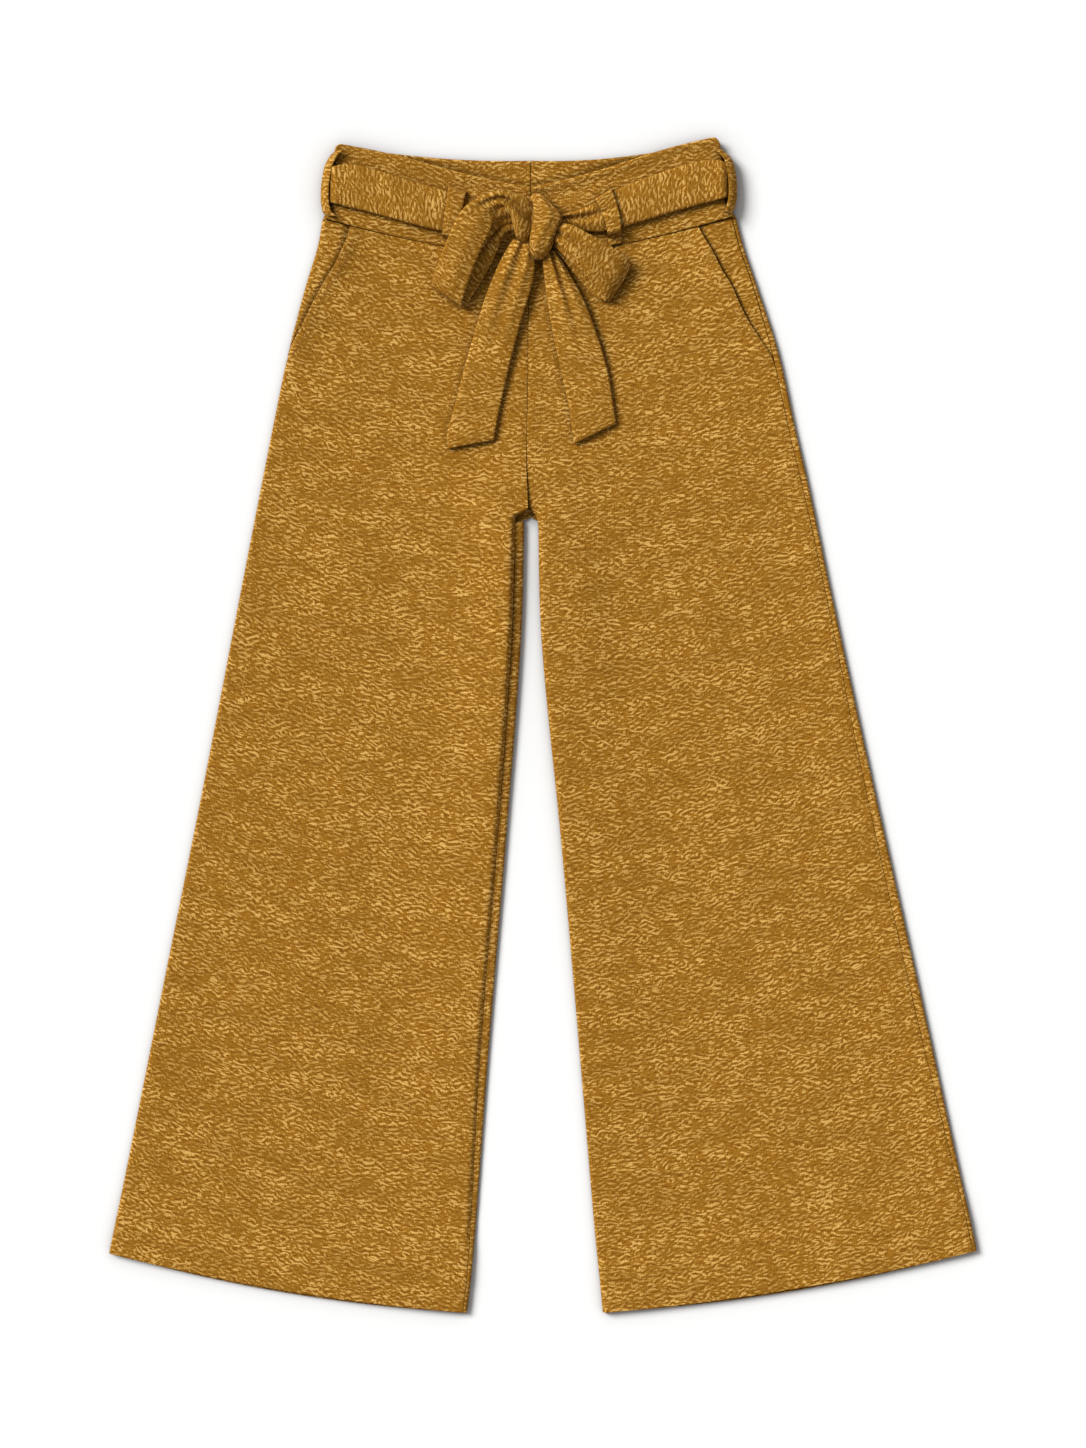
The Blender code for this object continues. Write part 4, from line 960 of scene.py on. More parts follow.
def cloth_piece(name, rows, walls, outside=(0, 0, 1), guided=False, judged_from=0, unders=None):
    """A closed shell of cloth from rows of points on its outer face, with its wall behind that face.

    Where `unders` has a row, its points are the inner face instead.
    """
    grid = [[Vector(point) for point in row] for row in rows]
    normals = facings(grid)
    inwards = faces_inwards(grid, outside, judged_from)
    places = cloth_measure(grid)
    # Each piece is cut from another place of the cloth.
    shift = (sum(ord(letter) for letter in name) % CUT_PLACES) * CUT_PLACE
    walls = walls if isinstance(walls, list) else [walls] * len(grid)
    unders = unders or [None] * len(grid)
    kept = range(1, len(grid[0]) - 1) if guided else range(len(grid[0]))
    bm = bmesh.new()
    spots = {}
    outer, inner = [], []
    for row, line, wall, place, under in zip(grid, normals, walls, places, unders):
        wall = wall if isinstance(wall, list) else [wall] * len(row)
        behind = under or [point + face * inwards * depth for point, face, depth in zip(row, line, wall)]
        outer.append([bm.verts.new(above_floor(row[i]) * MM + ORIGIN) for i in kept])
        inner.append([bm.verts.new(above_floor(Vector(behind[i])) * MM + ORIGIN) for i in kept])
        for made in (outer[-1], inner[-1]):
            for vert, i in zip(made, kept):
                spots[vert] = ((place[i][0] + shift) * MM, (place[i][1] - shift) * MM)
    faces = []
    for r in range(len(outer) - 1):
        for i in range(len(outer[0]) - 1):
            faces.append((outer[r][i], outer[r + 1][i], outer[r + 1][i + 1], outer[r][i + 1]))
            faces.append((inner[r][i + 1], inner[r + 1][i + 1], inner[r + 1][i], inner[r][i]))
    for i in range(len(outer[0]) - 1):
        faces.append((outer[0][i], outer[0][i + 1], inner[0][i + 1], inner[0][i]))
        faces.append((inner[-1][i], inner[-1][i + 1], outer[-1][i + 1], outer[-1][i]))
    for r in range(len(outer) - 1):
        faces.append((outer[r + 1][0], outer[r][0], inner[r][0], inner[r + 1][0]))
        faces.append((inner[r + 1][-1], inner[r][-1], outer[r][-1], outer[r + 1][-1]))
    layer = bm.loops.layers.uv.new(UV_NAME)
    for corners in faces:
        face = bm.faces.new(corners if inwards < 0 else corners[::-1])
        for loop in face.loops:
            loop[layer].uv = spots[loop.vert]
    return mesh_piece(name, bm, knit_material())


def dress(piece, node):
    """Puts a piece in the place of its solid."""
    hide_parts(node)
    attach(piece, ROOT)
    return piece


# ---- leg panels ----
def hemmed(leg, levels):
    """Wall of each row of a leg panel: one layer down to the hem's turn-up."""
    top_of_hem = leg["rows"][-1]["outer_level"] + HEM_DEPTH
    return [blend(CLOTH, HEM_WALL, ease((top_of_hem + HEM_STEP - level) / HEM_STEP)) for level in levels]


def pocket_levels(leg):
    """Outer levels of the rows beside the pocket mouth, down to where the side piece stops."""
    top = leg["rows"][0]["outer_level"]
    first = [top - below for below in POCKET_TOP_ROWS]
    return first + spread(top - POCKET_ROWS_FROM, POCKET_END[leg["side"]], POCKET_ROWS)


def panel_levels(leg):
    """Outer levels of a panel's rows, closer together at the pocket mouth, the fork and the hem."""
    beside_pocket = pocket_levels(leg)
    hem = leg["rows"][-1]["outer_level"]
    fork = leg["rows"][5]["outer_level"]
    seat = finer([beside_pocket[-1], fork + SEAT_ENDS], ROW_PITCH)[1:]
    around_fork = finer([fork + FORK_STARTS, fork + FORK_ENDS], FORK_PITCH)
    down = finer([fork + LEG_STARTS, hem + LEG_ENDS], ROW_PITCH)
    foot = [hem + rise for rise in FOOT_ROWS]
    return beside_pocket + seat + around_fork + down + foot


def panel_row(row, outer_columns, inner_columns, height_between):
    """Plan and height of a section's columns, with more of them in the open middle."""
    first, last = outer_columns[-1][0], inner_columns[0][0]
    middle = spread(first, last, OPEN_COLUMNS + 2)[1:-1]
    columns = outer_columns + [(along, height_between(along)) for along in middle] + inner_columns
    return [(*in_plan(row, along), height) for along, height in columns]


def waist_lift(leg, x, below):
    """How far the front stands higher beside the waist seam, to meet the waistband."""
    reach = min(max(leg["side"] * x, 0.0), BAND_END_REACH)
    seam = front_seam_level(leg["side"] * reach)
    band = band_front_top(leg["side"] * reach, seam)
    return (band - WAIST_SEAM_SINK - PANEL_AT_BAND) * (1 - ease(below / WAIST_LIFT_RUN))


def front_panel_rows(leg, levels):
    """Rows of points on the outer face of a front panel, with its creases and sunken seams."""
    inner_steps = INNER_FOLDED_STEPS if leg["shown_seam"] == "outer" else INSEAM_STEPS
    rows = []
    for level in levels:
        row = leg_row(leg, level, "front")
        start = panel_start(leg, row, level)
        mouth = pocket(leg, level)["mouth"]
        seam_on_top = 1.0 if leg["shown_seam"] == "inner" else 1.0 - past_fork(leg, "front", row)
        outer_on_top = 1.0 if leg["shown_seam"] == "outer" else ease(mouth / MOUTH_FADE)
        below_waist = leg["rows"][0]["outer_level"] - level
        above_hem = level - leg["rows"][-1]["outer_level"] - HEM_DEPTH

        def risen(along, height, row=row, level=level):
            """A place with its height over the pocket mouth."""
            return along, height + pocket_rise(leg, row, level, along)

        outer = []
        for step in (-GUIDE, *FOLDED_STEPS):
            along, height = risen(*ring_point(row, start + step, "outer"))
            height += outer_on_top * seam_relief(max(step, 0.0), level) * ease(1 + start / SEAM_ROUND)
            outer.append((along, height))
        inner = []
        for step in (*reversed(inner_steps), -GUIDE):
            along, height = inner_point(leg, row, "front", step)
            from_seam = max(step, 0.0)
            rolled = inseam_step(leg, row, "front") * INSEAM_ROLL * bell(from_seam, INSEAM_ROLL_WIDTH)
            inner.append((along, height - rolled + seam_on_top * seam_relief(from_seam, level)))
        points = panel_row(row, outer, inner, lambda s: risen(s, top_height(row, s))[1])
        shaped = []
        for x, y, z in points:
            on_top = upper_side(z)
            z += z / PANEL_HEIGHT * waist_lift(leg, x, below_waist)
            z += on_top * (relief("front", x, y) + seam_relief(below_waist, x))
            z -= on_top * HEM_LINE * bell(above_hem, HEM_LINE_WIDTH)
            shaped.append((x, y, z))
        rows.append(shaped)
    return rows


def front_panel(leg):
    """A front leg panel, from the pocket mouth and the waist seam down to the hem."""
    levels = panel_levels(leg)
    rows = front_panel_rows(leg, levels)
    return cloth_piece(f"front_panel_{leg['name']}_cloth", rows, hemmed(leg, levels), guided=True)


def back_panel(leg):
    """A back leg panel, flat on the floor, with its edges turned up round the folds."""
    outer_steps = FOLDED_STEPS if leg["shown_seam"] == "outer" else FLAT_STEPS
    inner_steps = INNER_FOLDED_STEPS if leg["shown_seam"] == "inner" else FLAT_STEPS
    rows = []
    levels = panel_levels(leg)
    for level in levels:
        row = leg_row(leg, level, "back")
        row["sag"] += BACK_HEM_DROP * ease(1 - level / BACK_HEM_RUN)
        start = seam_arc(leg, row, "outer") - SEAM_GAP / 2
        outer = []
        for step in (-GUIDE, *outer_steps):
            along, height = ring_point(row, start - step, "outer")
            upper = 1 if height > UPPER_SIDE else -1
            outer.append((along, height + upper * seam_relief(max(step, 0.0), level)))
        inner = []
        for step in (*reversed(inner_steps), -GUIDE):
            along, height = inner_point(leg, row, "back", step)
            upper = 1 if height > UPPER_SIDE else -1
            share = blend(INSEAM_ROLL, INSEAM_STRIP, ease(step / INSEAM_STRIP_RUN))
            height -= share * inseam_step(leg, row, "back") * height / row["inner_fold"]
            inner.append((along, height + upper * seam_relief(max(step, 0.0), level)))
        points = panel_row(row, outer, inner, lambda s: 0.0)
        off_hem = clear_of_hem(leg, level)
        rows.append([(x, y, max(z + lying(x, y, z) * off_hem, 0.0)) for x, y, z in points])
    name = f"back_panel_{leg['name']}_cloth"
    return cloth_piece(name, rows, hemmed(leg, levels), outside=(0, 0, -1), guided=True)


def lying(x, y, z):
    """Creases of the back where it lies on the floor."""
    return relief("back", x, y) * (1 - ease(z / LYING_FADE))


def pocket_side(leg):
    """The side piece: from the side seam to behind the pocket mouth."""
    rows = []
    for level in pocket_levels(leg):
        mouth = pocket(leg, level)
        row = leg_row(leg, level, "front")
        first = seam_arc(leg, row, "outer") + SEAM_GAP / 2
        width = mouth["mouth"] + mouth["tuck"]
        even = spread(0.0, width, SIDE_PIECE_COLUMNS)
        points = []
        for step in [-GUIDE, *even, width + GUIDE]:
            along, height = ring_point(row, first + step, "outer")
            past_mouth = step - mouth["mouth"]
            hidden = ease((past_mouth + HIDDEN_FROM) / HIDDEN_RUN) if mouth["tuck"] > 0 else 0.0
            sunk = MOUTH_SINK * bell(past_mouth - MOUTH_SINK_AT, MOUTH_SINK_WIDTH)
            sunk *= ease(mouth["mouth"] / MOUTH_FADE) * ease((height - UPPER_SIDE) / MOUTH_SINK_RUN)
            points.append((*in_plan(row, along), height - mouth["drop"] * hidden - sunk))
        rows.append(points)
    side = (leg["side"], 0, 0.5)
    return cloth_piece(f"pocket_side_{leg['name']}_cloth", rows, CLOTH, outside=side, guided=True)


# ---- waistband ----
def band_row(side, up, centre, head_dip, foot_dip, wave):
    """One line along the waistband: `up` runs from 0 at the waist seam to 1 at the top edge."""
    level = blend(BAND_FOOT[side], BAND_HEAD[side], up)
    reach = smooth_curve(BAND_SIDE[side], level)
    outer = Vector((side * reach, level))
    inner = Vector((side * SEAM_GAP / 2, centre + BAND_HEIGHT * up))
    return {
        "outer": outer,
        "inner": inner,
        "length": (inner - outer).length,
        "sag": blend(foot_dip, head_dip, up),
        "wave": wave * up,
        "corner": HEAD_CORNER[side] * up**CORNER_RISE,
        "low": belt_rise(above_back_seam(outer.x - side * DOUBLED, outer.y)),
        "high": band_front_top(outer.x - side * DOUBLED, outer.y),
    }


def band_in_plan(row, along):
    """Plan point of a line along the waistband, with its rounded top corner."""
    x, y = in_plan(row, along)
    y -= row["corner"] * max(1 - max(along, 0.0) / CORNER_REACH, 0.0) ** 2
    return x, y + row["wave"] * math.sin(2 * math.pi * along / row["length"])


def band_fold_point(row, arc):
    """Point of the waistband's side fold; past its top, a point of the front layer."""
    inward, height = round_fold(min(arc, 0.0), row["low"], row["high"])
    x, y = band_in_plan(row, inward + max(arc, 0.0))
    return x, y, band_front_top(x, y) if arc > 0 else height


def band_levels():
    """Shares of the band's height, closer together at its seam and its top edge."""
    return [0.0, 0.018, 0.04] + spread(0.08, 0.9, BAND_ROWS) + [0.93, 0.955, 0.975, 0.99, 1.0]


def band_lip(up):
    """The band's folded top edge: a soft roll, and a shallow dip below it."""
    below = (1 - up) * BAND_HEIGHT
    off = max(LIP_ROUND - below, 0.0)
    drop = LIP_ROUND - math.sqrt(LIP_ROUND**2 - off**2)
    hollow = HOLLOW * bell(below - HOLLOW_AT, HOLLOW_WIDTH)
    return LIP * bell(below - LIP_AT, LIP_WIDTH) - hollow - drop


def band_sink(up, step, x):
    """How far the band sinks at the waist seam and at its centre seam."""
    return seam_relief(up * BAND_HEIGHT, x) + seam_relief(step, up * BAND_HEIGHT + x)


def band_face(part, length):
    """Places along a line of the band between its side fold and its centre seam."""
    return spread(BAND_FACE_FROM[part], length - BAND_FACE_ENDS, BAND_FACE_COLUMNS)


def waistband_front(side):
    """A front half of the waistband: from the side fold to the centre-front seam."""
    rows = []
    for up in band_levels():
        row = band_row(side, up, FRONT_CENTRE, 0.0, FRONT_DIP, HEAD_WAVE)
        start = -math.pi * (row["high"] - row["low"]) / 4 + SEAM_GAP / 2
        points = [band_fold_point(row, start + step) for step in (-GUIDE, *BAND_STEPS)]
        lip_from, lip_run = LIP_FADE
        points = [(x, y, z + band_lip(up) * ease((z - lip_from) / lip_run)) for x, y, z in points]
        length = row["length"]
        for along in band_face("front", length) + [length - at for at in CENTRE_STEPS]:
            x, y = band_in_plan(row, along)
            points.append((x, y, band_front_top(x, y) + band_sink(up, length - along, x) + band_lip(up)))
        x, y = band_in_plan(row, length + GUIDE)
        points.append((x, y, points[-1][2]))
        rows.append(points)
    return cloth_piece(f"waistband_front_{LEGS[side]['name']}_cloth", rows, DOUBLED, guided=True)


def waistband_back(side):
    """A back half of the waistband: it climbs over the belt, and its inner side shows above the front."""
    rows, walls = [], []
    for up in band_levels():
        row = band_row(side, up, BACK_CENTRE, BACK_HEAD_DIP[side], 0.0, 0.0)
        start = -math.pi * (row["high"] - row["low"]) / 4 - SEAM_GAP / 2
        points = [band_fold_point(row, start - step) for step in (-GUIDE, *BACK_BAND_STEPS)]
        length = row["length"]
        for along in band_face("back", length) + [length - at for at in (*CENTRE_STEPS, -GUIDE)]:
            x, y = band_in_plan(row, along)
            points.append((x, y, belt_rise(above_back_seam(x, y))))
        rows.append(points)
        # The front's rolled edge presses a line into the back.
        above = [y - front_head_level(x) - HEAD_PRESS_AT for x, y, _ in points]
        full = DOUBLED + BACK_LIP_SHARE * band_lip(up)
        walls.append([full - HEAD_PRESS * bell(up_from_line, HEAD_PRESS_WIDTH) for up_from_line in above])
    name = f"waistband_back_{LEGS[side]['name']}_cloth"
    return cloth_piece(name, rows, walls, outside=(0, 0, -1), guided=True)


# ---- belt ----
def belt_edges(side, reach):
    """Levels of the front belt's top and bottom edges."""
    stretch = table(BELT_COLUMNS, BELT_FRONT[side])
    return [smooth_curve([(row["reach"], row[end]) for row in stretch], reach) for end in ("top", "bottom")]


def belt_face(side, reach, level):
    """Height of the belt's outer face over the front waistband."""
    top, bottom = belt_edges(side, reach)
    share = min(max((top - level) / (top - bottom), 0.0), 1.0)
    base = front_top(side * reach, level) + LYING_GAP
    loft = BELT_LOFT - BELT_SETTLE[side] * ease((BELT_SETTLE_FROM - reach) / BELT_SETTLE_RUN)
    return base + loft + ribbon_face(share, top - bottom, BELT_CROWN) + belt_pleat(side, reach, share)


def ribbon_shares(count):
    """Shares of a ribbon's width, closer together at its folded edges."""
    return [0.0, 0.012, 0.03, 0.06] + spread(0.12, 0.88, count) + [0.94, 0.97, 0.988, 1.0]


def ribbon_face(share, width, crown):
    """How a soft doubled ribbon rises between its folded edges and rounds off at them."""
    from_edge = width * min(share, 1.0 - share)
    off = max(RIBBON_ROUND - from_edge, 0.0)
    drop = RIBBON_ROUND - math.sqrt(RIBBON_ROUND**2 - off**2)
    return crown * math.sin(math.pi * share) ** RIBBON_FULL - drop


def pleats(rows, share):
    """Height of a few pleats that run along a ribbon, at a share of its width."""
    return sum(row["height"] * bell(share - row["at"], row["width"]) for row in table(PLEAT_COLUMNS, rows))


def ribbon_wave(along, across, slice_of_noise):
    """Gentle unevenness of a soft ribbon."""
    return RIBBON_UNEVEN * noise.noise(Vector((along, across, slice_of_noise)))


def belt_pleat(side, reach, share):
    """Folds of the belt where it narrows towards the knot, and its gentle unevenness along the way."""
    uneven = ribbon_wave(reach / BELT_WAVE, share * WAVES_ACROSS, side * BELT_SLICE)
    gather = ease((BELT_GATHER_FROM[side] - reach) / BELT_GATHER_RUN)
    deep_fold = blend(*DEEP_FOLD, ease((DEEP_FOLD_FROM - reach) / DEEP_FOLD_RUN)) if side > 0 else 0.0
    return gather * pleats(BELT_PLEATS[side], share - deep_fold) + uneven


def belt_lift(reach, share):
    """How far the belt's under face stands off the front at its edges."""
    foot = BELT_EDGE_LIFT * ease((share - BELT_EDGE_FROM) / BELT_EDGE_RUN)
    head = BELT_HEAD_LIFT * ease((BELT_HEAD_RUN - share) / BELT_HEAD_RUN)
    return (foot + head) * ease((reach - BELT_LIFT_FROM) / BELT_LIFT_RUN)


def belt_front(side):
    """From under the side fold, round it and across the front to the knot."""
    stretch = table(BELT_COLUMNS, BELT_FRONT[side])
    edge = stretch[0]["reach"]
    middle = (stretch[0]["top"] + stretch[0]["bottom"]) / 2
    high = belt_face(side, edge - BELT_FOLD_AT, middle)
    radius = high / 2
    shares = ribbon_shares(RIBBON_COLUMNS["belt"])
    rows, unders = [], []
    for arc in [math.pi * radius + BELT_JOIN] + spread(math.pi * radius, 0.0, BELT_ROWS["fold"]):
        inward, height = round_fold(-arc, 0.0, high)
        reach = edge - inward
        top, bottom = belt_edges(side, reach)
        rise = ease(1 - arc / (math.pi * radius))
        row = []
        for share in shares:
            drop = ribbon_face(share, top - bottom, 0.0)
            turned = math.sin(min(arc / radius, math.pi))
            row.append((side * (reach + drop * turned), blend(top, bottom, share), height + drop * rise))
        rows.append(row)
        unders.append(None)
    for reach in spread(edge - radius - BELT_FACE_AT, stretch[-1]["reach"], BELT_ROWS["front"]):
        top, bottom = belt_edges(side, reach)
        row, under = [], []
        for share in shares:
            x, level = side * reach, blend(top, bottom, share)
            row.append((x, level, belt_face(side, reach, level)))
            under.append((x, level, front_top(x, level) + LYING_GAP + belt_lift(reach, share)))
        rows.append(row)
        unders.append(under)
    return cloth_piece(f"belt_front_{LEGS[side]['name']}_cloth", rows, DOUBLED, unders=unders)


def belt_back():
    """Flat on the floor, under the back waistband, between the two side folds."""
    left = -(BELT_FRONT[-1][0][0] - BELT_BACK_INSET)
    right = BELT_FRONT[1][0][0] - BELT_BACK_INSET
    rows = []
    for x in spread(left, right, BELT_ROWS["back"]):
        along = 2 * (x - left) / (right - left) - 1
        ends = []
        for end in (0, 1):
            ends.append(smooth_curve([(side, BELT_BACK[side][end]) for side in (-1, 0, 1)], along))
        shares = ribbon_shares(RIBBON_COLUMNS["belt_back"])
        rows.append([(x, blend(*ends, share), 0.0) for share in shares])
    return cloth_piece("belt_back_cloth", rows, DOUBLED, outside=(0, 0, -1))


def over_belt(side, reach, level):
    """1 on the belt and a little beyond its edges, falling to 0."""
    top, bottom = belt_edges(side, reach)
    above = level - top - LOOP_CLEARS["top"]
    below = bottom - LOOP_CLEARS["foot"] - level
    return (1 - ease(above / LOOP_CLIMB)) * (1 - ease(below / LOOP_CLIMB))


def loop_front(side):
    """A belt loop on the front: it climbs from the waistband onto the belt and down again."""
    loop = table(FRONT_LOOP_COLUMNS, FRONT_LOOPS[side])
    middle = (loop[1]["inner"] + loop[1]["outer"]) / 2
    top, foot = belt_edges(side, middle)
    # Each row follows the belt's edges: its share of the way up between them, and how far above that.
    high, low = LOOP_CLEARS["top"], LOOP_CLEARS["foot"]
    lines = [(1.0, above) for above in spread(loop[0]["level"] - top, high + LOOP_CLIMB, 3)]
    lines += [(1.0, high + run) for run in spread(LOOP_CLIMB, 0.0, 5)[1:]]
    lines += [(share, 0.0) for share in spread(*LOOP_OVER)]
    lines += [(0.0, -low - run) for run in spread(0.0, LOOP_CLIMB, 5)]
    lines += [(0.0, above) for above in spread(-low - LOOP_CLIMB, loop[-1]["level"] - foot, 4)[1:]]
    rows = []
    for share, above in lines:
        ends = read(loop, "level", blend(foot, top, share) + above)
        row = []
        for across in ribbon_shares(RIBBON_COLUMNS["belt_loop"]):
            reach = blend(ends["inner"], ends["outer"], across)
            belt_head, belt_foot = belt_edges(side, reach)
            y = blend(belt_foot, belt_head, share) + above
            base = front_top(side * reach, y) + LYING_GAP
            crossed = min(max(y, belt_foot + LOOP_INSIDE), belt_head - LOOP_INSIDE)
            climb = (belt_face(side, reach, crossed) + LOOP_LOFT - base) * over_belt(side, reach, y)
            rounded = ribbon_face(across, abs(ends["outer"] - ends["inner"]), LOOP_CROWN) * LOOP_ROUND_SHARE
            row.append((side * reach, y, base + climb + LOOP_THICKNESS + rounded))
        rows.append(row)
    return cloth_piece(f"belt_loop_front_{LEGS[side]['name']}_cloth", rows, LOOP_THICKNESS)


def loop_side(side):
    """A belt loop over the side seam: a narrow band bowed out round the belt's fold."""
    loop = table(SIDE_LOOP_COLUMNS, SIDE_LOOPS[side])
    rows = []
    for place in spread(0.0, len(loop) - 1.0, SIDE_LOOP_ROWS):
        point = at_row(loop, place)
        row = []
        for turn in spread(*SIDE_LOOP_TURNS, SIDE_LOOP_FACETS):
            across = point["reach"] - SIDE_LOOP_RADIUS + SIDE_LOOP_RADIUS * math.cos(turn)
            height = SIDE_LOOP_MIDDLE + SIDE_LOOP_RADIUS * math.sin(turn)
            row.append((side * across, point["level"], height))
        rows.append(row)
    name = f"belt_loop_side_{LEGS[side]['name']}_cloth"
    return cloth_piece(name, rows, LOOP_THICKNESS, outside=(side, 0, 0))


# ---- bow ----
def bow_knot():
    """The knot: an upright barrel of rolled cloth, closed at both ends."""
    knot = table(KNOT_COLUMNS, KNOT)
    bm = bmesh.new()
    layer = bm.loops.layers.uv.new(UV_NAME)
    spots, rings = {}, []
    for place in spread(knot[0]["level"], knot[-1]["level"], KNOT_RINGS):
        row = read(knot, "level", place)
        half_height = (row["top"] - row["floor"]) / 2
        from_top, from_foot = knot[0]["level"] - place, place - knot[-1]["level"]
        ridge = KNOT_RIDGE * ease(from_top / KNOT_FADE) * ease(from_foot / KNOT_FADE)
        ring = []
        for i in range(KNOT_FACETS):
            turn = 2 * math.pi * i / KNOT_FACETS
            out = 1.0 + ridge * math.cos(KNOT_RIDGES * turn + place / KNOT_TWIST)
            across, up = (
                math.copysign(abs(share) ** KNOT_SQUARE, share) * out
                for share in (math.cos(turn), math.sin(turn))
            )
            x = row["centre"] + row["half_width"] * across
            z = row["floor"] + half_height * (1 + up)
            vert = bm.verts.new(Vector((x, place, z)) * MM + ORIGIN)
            spots[vert] = (turn * KNOT_RADIUS * MM, place * MM)
            ring.append(vert)
        rings.append(ring)
    faces = []
    for upper, lower in zip(rings, rings[1:]):
        for i in range(KNOT_FACETS):
            j = (i + 1) % KNOT_FACETS
            faces.append(bm.faces.new((upper[i], upper[j], lower[j], lower[i])))
    faces.append(bm.faces.new(rings[0]))
    faces.append(bm.faces.new(rings[-1]))
    round_it = 2 * math.pi * KNOT_RADIUS * MM
    for face in faces:
        widest = max(spots[loop.vert][0] for loop in face.loops)
        for loop in face.loops:
            u, v = spots[loop.vert]
            # The last strip of facets ends where the pattern starts again.
            last_strip = widest - u > round_it / 3 and len(face.verts) == 4
            loop[layer].uv = (u + round_it if last_strip else u, v)
    bmesh.ops.recalc_face_normals(bm, faces=bm.faces[:])
    return mesh_piece("bow_knot_cloth", bm, knit_material())


def bow_fold(name, along, share):
    """Pleats and rounding of a bow loop, outwards from its face; `along` runs from the knot round to it."""
    folds = table(BOW_FOLD_COLUMNS, BOW_FOLDS[name])
    waves_along, waves_across = BOW_WAVES
    total = ribbon_wave(along * waves_along, share * waves_across, BOW_SLICES[name])
    for fold in folds:
        reach = ease((along - fold["from"]) / fold["fade"]) * ease((fold["to"] - along) / fold["fade"])
        middle = blend(fold["at"], fold["ends_at"], (along - fold["from"]) / (fold["to"] - fold["from"]))
        total += fold["height"] * reach * bell(share - middle, fold["width"])
    return total + ribbon_face(share, BOW_WIDTH, 0.0)


def bow_loop(name):
    """A loop of the bow: the belt's ribbon between its two edges, out underneath and back on top."""
    edges = table(BOW_COLUMNS, BOW_LOOPS[name])
    shares = ribbon_shares(RIBBON_COLUMNS["bow"])
    grid = []
    for place in spread(0.0, len(edges) - 1.0, BOW_ROWS):
        point = at_row(edges, place)
        upper = Vector((point["ax"], point["ay"], point["az"]))
        lower = Vector((point["bx"], point["by"], point["bz"]))
        grid.append([upper.lerp(lower, t) for t in shares])
    front = BOW_ROWS - BOW_FRONT_ROWS
    out = -faces_inwards(grid, (0, 0, 1), front)
    rows = []
    for r, (row, line) in enumerate(zip(grid, facings(grid))):
        along = r / (BOW_ROWS - 1)
        rows.append([p + n * out * bow_fold(name, along, t) for p, n, t in zip(row, line, shares)])
    return cloth_piece(f"bow_loop_{name}_cloth", rows, BOW_WALL, judged_from=front)


def tail_fold(name, along, share):
    """Pleats of a hanging end below the knot, and the soft rolls further down."""
    gather = 1.0 - ease((along - TAIL_GATHER_FROM) / TAIL_GATHER_RUN)
    waves = ribbon_wave(along * TAIL_WAVES, share * WAVES_ACROSS, TAIL_SLICES[name])
    return gather * pleats(TAIL_PLEATS[name], share) + waves * ease(along / TAIL_WAVES_RUN)


def belt_tail(name):
    """A hanging end of the belt, lying on the front, with its end cut on a slant."""
    edges = table(TAIL_COLUMNS, TAILS[name])
    rows, unders = [], []
    last = len(edges) - 1.0
    # The last rows lie closer together and get thinner, towards the cut end.
    for place in finer([0.0, 0.4 * last, 0.99 * last], last / TAIL_ROWS) + [0.995 * last, last]:
        point = at_row(edges, place)
        width = math.hypot(point["rx"] - point["lx"], point["ry"] - point["ly"])
        end_off = max(1.0 - (last - place) / last * TAIL_ROWS, 0.0)
        row, under = [], []
        for t in ribbon_shares(RIBBON_COLUMNS["tail"]):
            x, y = blend(point["lx"], point["rx"], t), blend(point["ly"], point["ry"], t)
            base = front_top(x, y) + LYING_GAP + point["loft"]
            face = TAIL_LOFT + ribbon_face(t, width, TAIL_CROWN) + tail_fold(name, place / last, t)
            row.append((x, y, base + max(face - end_off, TAIL_LEAST + TAIL_EDGE_LIFT)))
            under.append((x, y, base + TAIL_EDGE_LIFT * abs(2 * t - 1) ** 3))
        rows.append(row)
        unders.append(under)
    return cloth_piece(f"belt_tail_{name}_cloth", rows, DOUBLED, unders=unders)


# ---- sewing ----
def stitch_tree():
    """Geometry Nodes: thread stitches laid along a curve."""
    tree = bpy.data.node_groups.new("Running stitches", "GeometryNodeTree")
    face = tree.interface
    face.new_socket("Geometry", in_out="INPUT", socket_type="NodeSocketGeometry")
    for name in ("Stitch length", "Gap", "Thread radius"):
        face.new_socket(name, in_out="INPUT", socket_type="NodeSocketFloat")
    face.new_socket("Material", in_out="INPUT", socket_type="NodeSocketMaterial")
    face.new_socket("Geometry", in_out="OUTPUT", socket_type="NodeSocketGeometry")
    given = add_node(tree, "NodeGroupInput")
    length, radius = given.outputs["Stitch length"], given.outputs["Thread radius"]
    pitch = add_node(tree, "ShaderNodeMath", {0: length, 1: given.outputs["Gap"]}, operation="ADD")
    along = {"Curve": given.outputs["Geometry"], "Length": pitch}
    points = add_node(tree, "GeometryNodeCurveToPoints", along, mode="LENGTH")
    half = add_node(tree, "ShaderNodeMath", {0: length, 1: 0.5}, operation="MULTIPLY")
    thread = add_node(tree, "GeometryNodeMeshUVSphere", {"Segments": 6, "Rings": 5, "Radius": 1.0})
    placed = {
        "Points": points,
        "Instance": thread,
        "Rotation": points.outputs["Rotation"],
        "Scale": add_node(tree, "ShaderNodeCombineXYZ", {"X": radius, "Y": radius, "Z": half}),
    }
    laid = add_node(tree, "GeometryNodeInstanceOnPoints", placed)
    whole = add_node(tree, "GeometryNodeRealizeInstances", {"Geometry": laid})
    coloured = {"Geometry": whole, "Material": given.outputs["Material"]}
    coloured = add_node(tree, "GeometryNodeSetMaterial", coloured)
    add_node(tree, "NodeGroupOutput", {"Geometry": coloured})
    return tree


